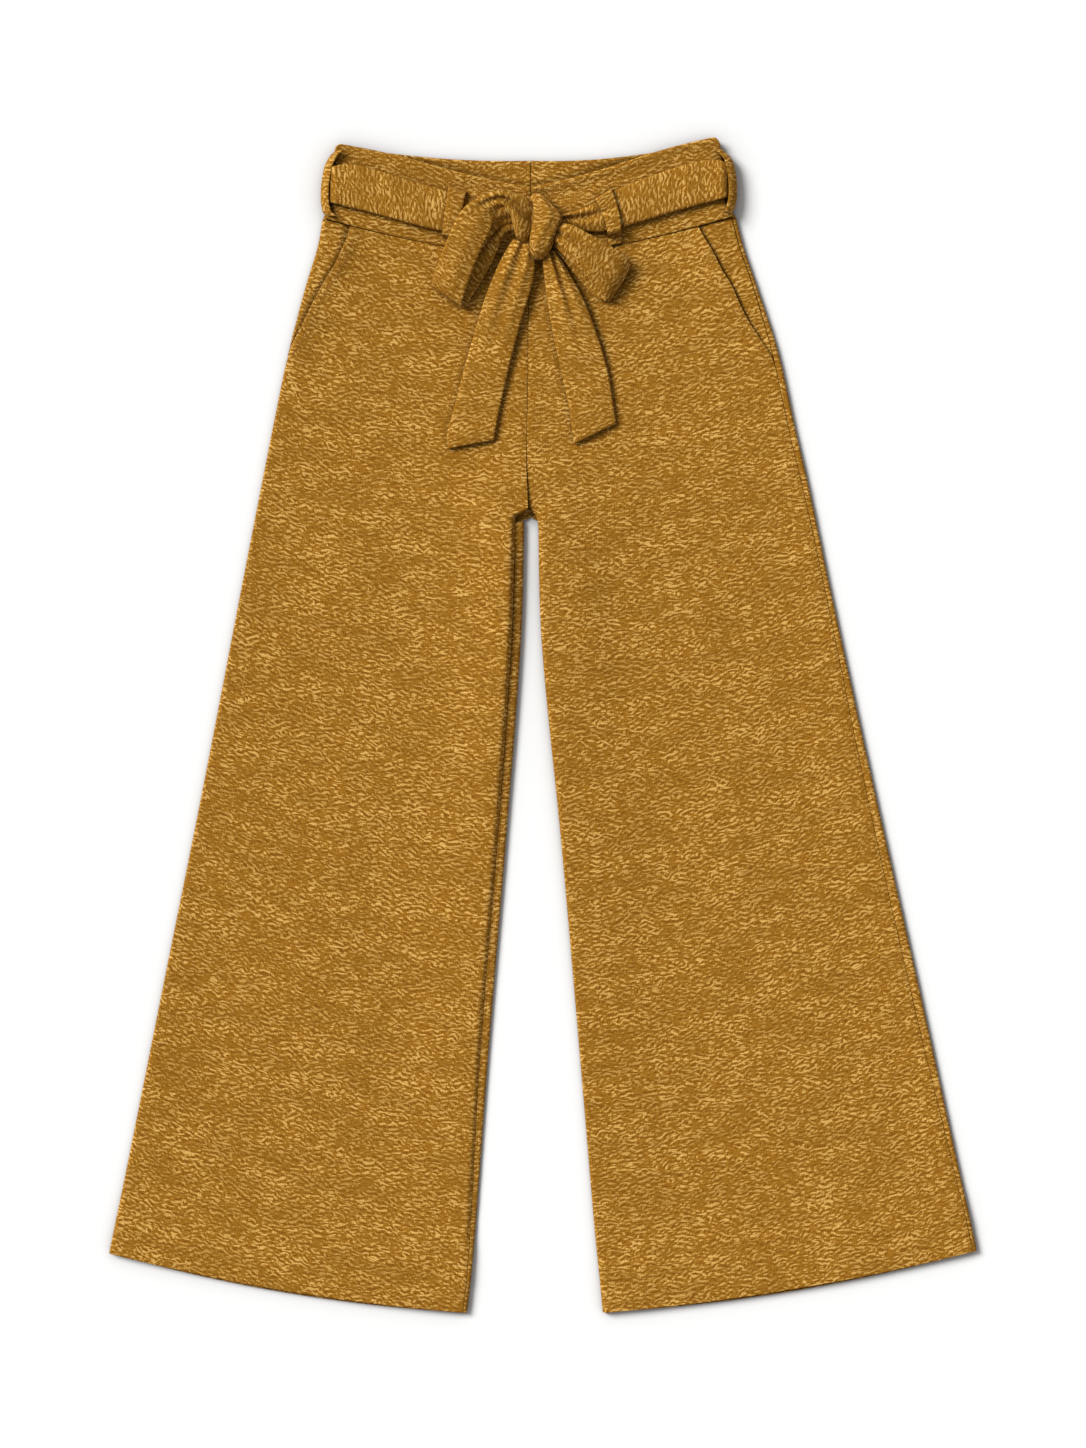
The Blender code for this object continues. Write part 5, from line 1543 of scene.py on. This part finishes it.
def stitched(name, lines, sewing, material):
    """One mesh of stitches along lines of points, in millimetres of the garment."""
    path = bpy.data.curves.new(name + "_path", "CURVE")
    path.dimensions = "3D"
    for line in lines:
        spline = path.splines.new("POLY")
        spline.points.add(len(line) - 1)
        for point, place in zip(spline.points, line):
            point.co = (*(Vector(place) * MM + ORIGIN), 1.0)
    guide = bpy.data.objects.new(name + "_path", path)
    bpy.context.scene.collection.objects.link(guide)
    sewn = guide.modifiers.new("Stitches", "NODES")
    sewn.node_group = stitch_tree()
    values = {
        "Stitch length": sewing.stitch_length,
        "Gap": sewing.stitch_gap,
        "Thread radius": sewing.thread_radius,
        "Material": material,
    }
    for item in sewn.node_group.interface.items_tree:
        if item.in_out == "INPUT" and item.name in values:
            sewn[item.identifier] = values[item.name]
    bpy.context.view_layer.update()
    evaluated = guide.evaluated_get(bpy.context.evaluated_depsgraph_get())
    mesh = bpy.data.meshes.new_from_object(evaluated)
    mesh.name = name
    bpy.data.objects.remove(guide)
    mesh.shade_smooth()
    piece = bpy.data.objects.new(name, mesh)
    bpy.context.scene.collection.objects.link(piece)
    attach(piece, ROOT)
    return piece


def pocket_stitch_lines(leg, margins):
    """Lines beside the pocket mouth, on the front panel."""
    lines = []
    foot = POCKET_END[leg["side"]] - STITCHED_PAST
    levels = [level for level in panel_levels(leg) if level > foot][2:]
    for margin in margins:
        line = []
        for level in levels:
            row = leg_row(leg, level, "front")
            along, height = ring_point(row, panel_start(leg, row, level) + margin, "outer")
            height += pocket_rise(leg, row, level, along)
            x, y = in_plan(row, along)
            height += upper_side(height) * relief("front", x, y) + seam_relief(margin, level)
            line.append((x, y, max(height, STITCH_LEAST)))
        lines.append(line)
    return lines


# ---- materials ----
def linear(hex_colour):
    """An sRGB hex colour as the linear numbers that Blender's sockets take."""
    values = []
    for i in (1, 3, 5):
        c = int(hex_colour[i : i + 2], 16) / 255
        values.append(c / 12.92 if c <= 0.04045 else ((c + 0.055) / 1.055) ** 2.4)
    return (*values, 1.0)


def add_node(tree, kind, inputs=None, **settings):
    """One node with its settings, its inputs' values and its links; a node as a value is its first output."""
    node = tree.nodes.new(kind)
    for key, value in settings.items():
        setattr(node, key, value)
    for key, value in (inputs or {}).items():
        if isinstance(value, bpy.types.Node):
            value = value.outputs[0]
        if isinstance(value, bpy.types.NodeSocket):
            tree.links.new(value, node.inputs[key])
        else:
            node.inputs[key].default_value = value
    return node


def finished_material(name, settings):
    """A material with its Principled shader's settings; links come after it."""
    material = bpy.data.materials.new(name)
    material.use_nodes = True
    shader = material.node_tree.nodes["Principled BSDF"]
    for key, value in settings.items():
        shader.inputs[key].default_value = value
    return material, material.node_tree, shader


def per_size(across, along):
    """Factors that measure a place in pattern sizes: millimetres across and along."""
    return (1.0 / across, 1.0 / along, 1.0)


# Soft noise whose blots are about one unit of its vector wide.
SOFT = {"Scale": 1.0, "Detail": 0.0, "Roughness": 0.55, "Distortion": 0.0}
EASED = {"interpolation_type": "SMOOTHSTEP"}
# The pale yarn, in millimetres across and along the cloth.
WANDER_SIZE = (7.0, 5.0)  # size of the curls
WANDER = (4.6, 3.4, 0.0)  # how far the curls go
STRANDS = ((1.0, 94.0), (0.72, 76.0))  # relative size and direction, in degrees, of two sets of strands
STRAND_WIDTH = (1.15, 1.0)
STRAND_ORDER = 0.55  # 0 for strands in every direction and 1 for one direction
FUZZ = {"fineness": 2.6, "pitch": 0.95, "order": 0.25, "direction": 90.0}  # the hairs round a strand
DRIFT_SIZE = (52.0, 17.0)
GRAIN_SIZE = (1.9, 1.5)  # unevenness from stitch to stitch
PAINTED_CREVICE_SHADE = {"reach": 0.009, "sharpness": 1.3, "deepest": 0.39, "open": 0.54}  # painted shade: how dark the colour is made in a crevice


def curled_yarn_group(knit):
    """Short curled strands of pale yarn, high on a strand's crest and low in the ground between two."""
    tree = bpy.data.node_groups.new("Curled yarn", "ShaderNodeTree")
    tree.interface.new_socket("Vector", in_out="INPUT", socket_type="NodeSocketVector")
    tree.interface.new_socket("Yarn", in_out="OUTPUT", socket_type="NodeSocketFloat")
    tree.interface.new_socket("Fuzz", in_out="OUTPUT", socket_type="NodeSocketFloat")
    given = add_node(tree, "NodeGroupInput").outputs["Vector"]
    length, spacing = knit.fleck_length / MM, knit.fleck_spacing / MM
    slow = {0: given, 1: per_size(*WANDER_SIZE)}
    slow = add_node(tree, "ShaderNodeVectorMath", slow, operation="MULTIPLY")
    wander = add_node(tree, "ShaderNodeTexNoise", {**SOFT, "Vector": slow}).outputs["Color"]
    curled = {0: wander, 1: WANDER, 2: given}
    curled = add_node(tree, "ShaderNodeVectorMath", curled, operation="MULTIPLY_ADD")
    strands = []
    for size, turned in STRANDS:
        across = {0: curled, 1: per_size(*STRAND_WIDTH)}
        strand = {
            "Vector": add_node(tree, "ShaderNodeVectorMath", across, operation="MULTIPLY"),
            "Scale": 1.0 / (length * size),
            "Frequency": length / spacing,
            "Anisotropy": STRAND_ORDER,
            "Orientation": math.radians(turned),
        }
        strands.append(add_node(tree, "ShaderNodeTexGabor", strand, gabor_type="2D"))
    crests = add_node(tree, "ShaderNodeMath", dict(enumerate(strands)), operation="MAXIMUM")
    hairs = {
        "Vector": curled,
        "Scale": FUZZ["fineness"] / length,
        "Frequency": FUZZ["pitch"] * length / spacing,
        "Anisotropy": FUZZ["order"],
        "Orientation": math.radians(FUZZ["direction"]),
    }
    hairs = add_node(tree, "ShaderNodeTexGabor", hairs, gabor_type="2D")
    add_node(tree, "NodeGroupOutput", {"Yarn": crests, "Fuzz": hairs})
    return tree


def stitch_grid(tree, knit, in_mm):
    """Wales and courses: -2 between the stitches and 2 on them."""
    # They are half as coarse again as the real stitches, so that they show.
    axes = add_node(tree, "ShaderNodeSeparateXYZ", {0: in_mm})
    waves = []
    for axis, pitch in (("X", knit.wale), ("Y", knit.course)):
        turns = {0: axes.outputs[axis], 1: 2 * math.pi / pitch * MM}
        turns = add_node(tree, "ShaderNodeMath", turns, operation="MULTIPLY")
        waves.append(add_node(tree, "ShaderNodeMath", {0: turns}, operation="SINE"))
    return add_node(tree, "ShaderNodeMath", dict(enumerate(waves)), operation="ADD")


def knit_colour(tree, knit, drift, crests):
    """The ground yarn, its shade beside the pale yarn, and the pale yarn where it surfaces."""
    pale = {"Value": crests, "From Min": 0.57, "From Max": 0.68}
    pale = add_node(tree, "ShaderNodeMapRange", pale, **EASED)
    surfaced = add_node(tree, "ShaderNodeMath", {0: drift, 1: 0.5, 2: 0.52}, operation="MULTIPLY_ADD")
    pale = add_node(tree, "ShaderNodeMath", {0: pale, 1: surfaced}, operation="MULTIPLY")
    beside = {"Value": crests, "From Min": 0.54, "From Max": 0.43}
    beside = add_node(tree, "ShaderNodeMapRange", beside, **EASED)
    layers = ((drift, knit.ground), (beside, knit.shadow), (pale, knit.fleck))
    colour = knit.shade
    for share, next_colour in layers:
        mixed = {"Factor": share, 6: colour, 7: next_colour}
        colour = add_node(tree, "ShaderNodeMix", mixed, data_type="RGBA").outputs[2]
    return colour


def knit_value(tree, stitches, grain, fuzz):
    """How light the knit is: its stitches, their unevenness, the fuzz, and painted shade in crevices."""
    value = 0.5
    for part, share in ((grain, 0.6), (stitches, 0.095), (fuzz, 0.5)):
        value = {0: part, 1: share, 2: value}
        value = add_node(tree, "ShaderNodeMath", value, operation="MULTIPLY_ADD")
    # Painted shade: 1 in the open, and less where other cloth or the floor lies close.
    painted_occlusion = {"Distance": PAINTED_CREVICE_SHADE["reach"]}
    painted_occlusion = add_node(tree, "ShaderNodeAmbientOcclusion", painted_occlusion, samples=5).outputs["AO"]
    painted_occlusion = add_node(tree, "ShaderNodeMath", {0: painted_occlusion, 1: PAINTED_CREVICE_SHADE["sharpness"]}, operation="POWER")
    painted_occlusion = {0: painted_occlusion, 1: PAINTED_CREVICE_SHADE["open"], 2: PAINTED_CREVICE_SHADE["deepest"]}
    painted_occlusion = add_node(tree, "ShaderNodeMath", painted_occlusion, operation="MULTIPLY_ADD")
    return add_node(tree, "ShaderNodeMath", {0: value, 1: painted_occlusion}, operation="MULTIPLY")


def knit_material():
    """Marled jersey: a mustard ground yarn knitted with a paler one that surfaces in short curled flecks."""
    found = bpy.data.materials.get("Marled jersey knit")
    if found:
        return found
    knit = bpy.context.scene.trousers_knit
    # Fluffy spun yarn: no gloss at all, and a little bloom where the cloth turns away.
    finish = {
        "Roughness": 0.95,
        "Specular IOR Level": 0.12,
        "Sheen Weight": 0.04,
        "Sheen Roughness": 0.5,
        "Sheen Tint": knit.fleck,
    }
    material, tree, shader = finished_material("Marled jersey knit", finish)
    uv = add_node(tree, "ShaderNodeUVMap", uv_map=UV_NAME)
    in_mm = add_node(tree, "ShaderNodeVectorMath", {0: uv, 1: per_size(MM, MM)}, operation="MULTIPLY")
    yarn = add_node(tree, "ShaderNodeGroup", node_tree=curled_yarn_group(knit))
    tree.links.new(in_mm.outputs[0], yarn.inputs["Vector"])
    # The pale yarn comes up in drifts, wider than they are tall, and dives under in between.
    noises = {}
    for name, size, detail in (("drift", DRIFT_SIZE, 2.0), ("grain", GRAIN_SIZE, 1.0)):
        place = {0: in_mm, 1: per_size(*size)}
        place = add_node(tree, "ShaderNodeVectorMath", place, operation="MULTIPLY")
        noises[name] = add_node(tree, "ShaderNodeTexNoise", {**SOFT, "Vector": place, "Detail": detail})
    drift = {"Value": noises["drift"].outputs["Fac"], "From Min": 0.36, "From Max": 0.64}
    drift = add_node(tree, "ShaderNodeMapRange", drift, **EASED)
    grain = noises["grain"].outputs["Fac"]
    stitches = stitch_grid(tree, knit, in_mm)
    toned = {
        "Saturation": 1.0,
        "Value": knit_value(tree, stitches, grain, yarn.outputs["Fuzz"]),
        "Color": knit_colour(tree, knit, drift, yarn.outputs["Yarn"]),
    }
    toned = add_node(tree, "ShaderNodeHueSaturation", toned)
    tree.links.new(toned.outputs["Color"], shader.inputs["Base Color"])
    height = {0: stitches, 1: 0.12, 2: grain}
    height = add_node(tree, "ShaderNodeMath", height, operation="MULTIPLY_ADD")
    bump = add_node(tree, "ShaderNodeBump", {"Height": height, "Distance": 0.0003, "Strength": 0.2})
    tree.links.new(bump.outputs["Normal"], shader.inputs["Normal"])
    return material


def thread_material():
    """Spun polyester sewing thread, dyed to match: a little brighter and smoother than the knit."""
    material, tree, shader = finished_material("Spun polyester thread", {"Roughness": 0.6})
    place = add_node(tree, "ShaderNodeTexCoord").outputs["Object"]
    twist = add_node(tree, "ShaderNodeTexNoise", {"Vector": place, "Scale": 900.0, "Detail": 1.0})
    dyed = {"Factor": twist.outputs["Fac"], 6: linear("#8E6420"), 7: linear("#AC8038")}
    dyed = add_node(tree, "ShaderNodeMix", dyed, data_type="RGBA").outputs[2]
    tree.links.new(dyed, shader.inputs["Base Color"])
    return material


def board_material(stage):
    """White painted board, matt, with the faint mottle of a roller, and painted grey shade where the cloth
    lies close.
    """
    finish = {"Roughness": 0.95, "Specular IOR Level": 0.1}
    material, tree, shader = finished_material("Matt white painted board", finish)
    place = add_node(tree, "ShaderNodeTexCoord").outputs["Object"]
    mottle = add_node(tree, "ShaderNodeTexNoise", {"Vector": place, "Scale": 40.0, "Detail": 2.0})
    bump = {"Height": mottle.outputs["Fac"], "Distance": 0.0001, "Strength": 0.1}
    bump = add_node(tree, "ShaderNodeBump", bump)
    tree.links.new(bump.outputs["Normal"], shader.inputs["Normal"])
    # Painted shade: the floor's colour turns to a dark grey where the cloth lies close.
    painted_occlusion = add_node(tree, "ShaderNodeAmbientOcclusion", {"Distance": 0.03}, samples=12).outputs["AO"]
    shaded = {"Factor": painted_occlusion, 6: linear("#808286"), 7: stage.floor_colour}
    shaded = add_node(tree, "ShaderNodeMix", shaded, data_type="RGBA").outputs[2]
    tree.links.new(shaded, shader.inputs["Base Color"])
    return material


# ---- settings ----
class TrousersKnitSettings(PropertyGroup):
    """Colours and scale of the marled knit."""

    ground: FloatVectorProperty(
        name="Ground", description="The mustard ground yarn", subtype="COLOR", size=4, min=0, max=1,
        default=linear("#9C6A1C"),
    )
    shade: FloatVectorProperty(
        name="Shade", description="The ground between drifts of pale yarn", subtype="COLOR", size=4,
        min=0, max=1, default=linear("#94651A"),
    )
    shadow: FloatVectorProperty(
        name="Shadow", description="The shade beside the pale yarn", subtype="COLOR", size=4, min=0, max=1,
        default=linear("#835310"),
    )
    fleck: FloatVectorProperty(
        name="Fleck", description="The pale yarn", subtype="COLOR", size=4, min=0, max=1,
        default=linear("#D4A85A"),
    )
    fleck_length: FloatProperty(
        name="Fleck length", description="Length of a pale fleck", unit="LENGTH", default=0.0098, min=0.002
    )
    fleck_spacing: FloatProperty(
        name="Fleck spacing", description="Distance between flecks", unit="LENGTH", default=0.0046, min=0.001
    )
    wale: FloatProperty(
        name="Wale", description="Width of a stitch", unit="LENGTH", default=0.0022, min=0.0005
    )
    course: FloatProperty(
        name="Course", description="Height of a stitch", unit="LENGTH", default=0.0021, min=0.0005
    )


class TrousersSewingSettings(PropertyGroup):
    """Topstitching."""

    stitch_length: FloatProperty(
        name="Stitch length", description="Length of a stitch", unit="LENGTH", default=0.0026, min=0.0005
    )
    stitch_gap: FloatProperty(
        name="Gap", description="Distance between stitches", unit="LENGTH", default=0.0007, min=0.0
    )
    thread_radius: FloatProperty(
        name="Thread radius", description="Half the thread's thickness", unit="LENGTH", default=0.0003,
        min=0.00005,
    )
    first_row: FloatProperty(
        name="First row", description="First row's distance from the edge", unit="LENGTH", default=0.0016
    )
    second_row: FloatProperty(
        name="Second row", description="Second row's distance from the edge", unit="LENGTH", default=0.0068
    )


class TrousersStageSettings(PropertyGroup):
    """Floor, light and camera."""

    floor_colour: FloatVectorProperty(
        name="Floor", description="Colour of the floor", subtype="COLOR", size=4, min=0, max=1,
        default=linear("#F4F4F3"),
    )
    camera_height: FloatProperty(
        name="Camera height", description="Height of the camera above the floor", unit="LENGTH", default=3.2
    )
    key_strength: FloatProperty(
        name="Key light", description="Strength of the large soft light", default=4.06
    )
    key_spread: FloatProperty(
        name="Key spread", description="How wide the key light is, seen from the floor", unit="ROTATION",
        default=0.5,
    )
    sky: FloatProperty(
        name="Surrounding light", description="Strength of the white surroundings", default=0.34
    )
    frame_width: IntProperty(
        name="Frame width", description="Width of the picture in pixels", default=1086
    )
    frame_height: IntProperty(
        name="Frame height", description="Height of the picture in pixels", default=1448
    )


# ---- steps ----
class TROUSERS_OT_back_panels(Operator):
    """Lays the two back leg panels on the floor, wrapped round the folds whose seams show on top"""

    bl_idname = "trousers.back_panels"
    bl_label = "Back leg panels"

    def execute(self, context):
        for side, leg in LEGS.items():
            dress(back_panel(leg), f"back_panel_{leg['name']}")
        return {"FINISHED"}


class TROUSERS_OT_pocket_sides(Operator):
    """Sews in the side pieces that show behind the pocket mouths"""

    bl_idname = "trousers.pocket_sides"
    bl_label = "Pocket side pieces"

    def execute(self, context):
        for leg in LEGS.values():
            dress(pocket_side(leg), f"pocket_side_{leg['name']}")
        return {"FINISHED"}


class TROUSERS_OT_front_panels(Operator):
    """Lays the two front leg panels on the back ones, with their creases, pocket mouths and hems"""

    bl_idname = "trousers.front_panels"
    bl_label = "Front leg panels"

    def execute(self, context):
        for side, leg in LEGS.items():
            dress(front_panel(leg), f"front_panel_{leg['name']}")
        return {"FINISHED"}


class TROUSERS_OT_waistband(Operator):
    """Sews on the four quarters of the waistband"""

    bl_idname = "trousers.waistband"
    bl_label = "Waistband"

    def execute(self, context):
        for side, leg in LEGS.items():
            name = leg["name"]
            back = f"waistband_back_{name}"
            dress(waistband_back(side), back)
            dress(waistband_front(side), f"waistband_front_{name}")
        return {"FINISHED"}


class TROUSERS_OT_belt(Operator):
    """Runs the belt round the waistband, through its loops"""

    bl_idname = "trousers.belt"
    bl_label = "Belt and belt loops"

    def execute(self, context):
        dress(belt_back(), "belt_back")
        for side, leg in LEGS.items():
            name = leg["name"]
            belt = f"belt_front_{name}"
            dress(belt_front(side), belt)
            dress(loop_front(side), f"belt_loop_front_{name}")
            dress(loop_side(side), f"belt_loop_side_{name}")
        return {"FINISHED"}


class TROUSERS_OT_bow(Operator):
    """Ties the bow: the knot, its two loops and its two hanging ends"""

    bl_idname = "trousers.bow"
    bl_label = "Bow"

    def execute(self, context):
        for name in ("left", "right"):
            dress(belt_tail(name), f"belt_tail_{name}")
            dress(bow_loop(name), f"bow_loop_{name}")
        dress(bow_knot(), "bow_knot")
        return {"FINISHED"}


class TROUSERS_OT_topstitching(Operator):
    """Sews two rows of topstitching beside each pocket mouth"""

    bl_idname = "trousers.topstitching"
    bl_label = "Topstitching"

    def execute(self, context):
        sewing = context.scene.trousers_sewing
        margins = (sewing.first_row / MM, sewing.second_row / MM)
        thread = thread_material()
        for leg in LEGS.values():
            name = f"pocket_stitches_{leg['name']}"
            stitched(name, pocket_stitch_lines(leg, margins), sewing, thread)
        return {"FINISHED"}


class TROUSERS_OT_stage(Operator):
    """Sets the pale floor, the soft light from the upper left and the camera straight above"""

    bl_idname = "trousers.stage"
    bl_label = "Stage"

    def execute(self, context):
        stage = context.scene.trousers_stage
        bm = bmesh.new()
        bmesh.ops.create_grid(bm, x_segments=1, y_segments=1, size=FLOOR_REACH)
        mesh = bpy.data.meshes.new("floor")
        bm.to_mesh(mesh)
        bm.free()
        mesh.materials.append(board_material(stage))
        floor = bpy.data.objects.new("floor", mesh)
        context.scene.collection.objects.link(floor)
        light_up(context, stage)
        add_camera(context, stage)
        return {"FINISHED"}


def light_up(context, stage):
    """Even soft light from the upper left, and white surroundings that fill the shadows."""
    world = bpy.data.worlds.new("White studio")
    world.use_nodes = True
    surroundings = world.node_tree.nodes["Background"]
    surroundings.inputs["Color"].default_value = (1.0, 1.0, 1.0, 1.0)
    surroundings.inputs["Strength"].default_value = stage.sky
    context.scene.world = world
    key = bpy.data.lights.new("key", "SUN")
    key.energy = stage.key_strength
    key.angle = stage.key_spread
    lamp = bpy.data.objects.new("key", key)
    lamp.location = KEY_FROM
    lamp.rotation_euler = (-Vector(KEY_FROM)).to_track_quat("-Z", "Y").to_euler()
    context.scene.collection.objects.link(lamp)
    context.scene.view_settings.view_transform = "Standard"


def add_camera(context, stage):
    """A camera straight above, so that the garment fills the frame as it does in the photograph."""
    width, height = stage.frame_width, stage.frame_height
    camera = bpy.data.cameras.new("camera")
    camera.sensor_fit = "AUTO"
    distance = stage.camera_height - SHARP_HEIGHT * MM
    camera.lens = camera.sensor_width * distance / (max(width, height) * PIXEL * MM)
    view = bpy.data.objects.new("camera", camera)
    middle = Vector(((width / 2 - SEAM_COLUMN) * PIXEL * MM, (FOOT_ROW - height / 2) * PIXEL * MM, 0.0))
    view.location = ORIGIN + middle + Vector((0.0, 0.0, stage.camera_height))
    context.scene.collection.objects.link(view)
    context.scene.camera = view


class TROUSERS_PT_sidebar(Panel):
    """Lists the steps in order, with their settings."""

    bl_label = "Palazzo trousers"
    bl_idname = "TROUSERS_PT_sidebar"
    bl_space_type = "VIEW_3D"
    bl_region_type = "UI"
    bl_category = "Trousers"

    def draw(self, context):
        for settings, group in SETTINGS.items():
            for name in group.__annotations__:
                self.layout.prop(getattr(context.scene, settings), name)
        for step in STEPS:
            self.layout.operator(step.bl_idname)


STEPS = (
    TROUSERS_OT_back_panels,
    TROUSERS_OT_pocket_sides,
    TROUSERS_OT_front_panels,
    TROUSERS_OT_waistband,
    TROUSERS_OT_belt,
    TROUSERS_OT_bow,
    TROUSERS_OT_topstitching,
    TROUSERS_OT_stage,
)
SETTINGS = {
    "trousers_knit": TrousersKnitSettings,
    "trousers_sewing": TrousersSewingSettings,
    "trousers_stage": TrousersStageSettings,
}


def register():
    """Adds the settings, the steps and the sidebar."""
    for group in SETTINGS.values():
        bpy.utils.register_class(group)
    for name, group in SETTINGS.items():
        setattr(bpy.types.Scene, name, PointerProperty(type=group))
    for step in (*STEPS, TROUSERS_PT_sidebar):
        bpy.utils.register_class(step)


def unregister():
    """Takes them away again."""
    for step in (TROUSERS_PT_sidebar, *reversed(STEPS)):
        bpy.utils.unregister_class(step)
    for name, group in SETTINGS.items():
        delattr(bpy.types.Scene, name)
        bpy.utils.unregister_class(group)


def main():
    """Runs every step in order."""
    register()
    bpy.ops.trousers.back_panels()
    bpy.ops.trousers.pocket_sides()
    bpy.ops.trousers.front_panels()
    bpy.ops.trousers.waistband()
    bpy.ops.trousers.belt()
    bpy.ops.trousers.bow()
    bpy.ops.trousers.topstitching()
    bpy.ops.trousers.stage()


if __name__ == "__main__":
    main()
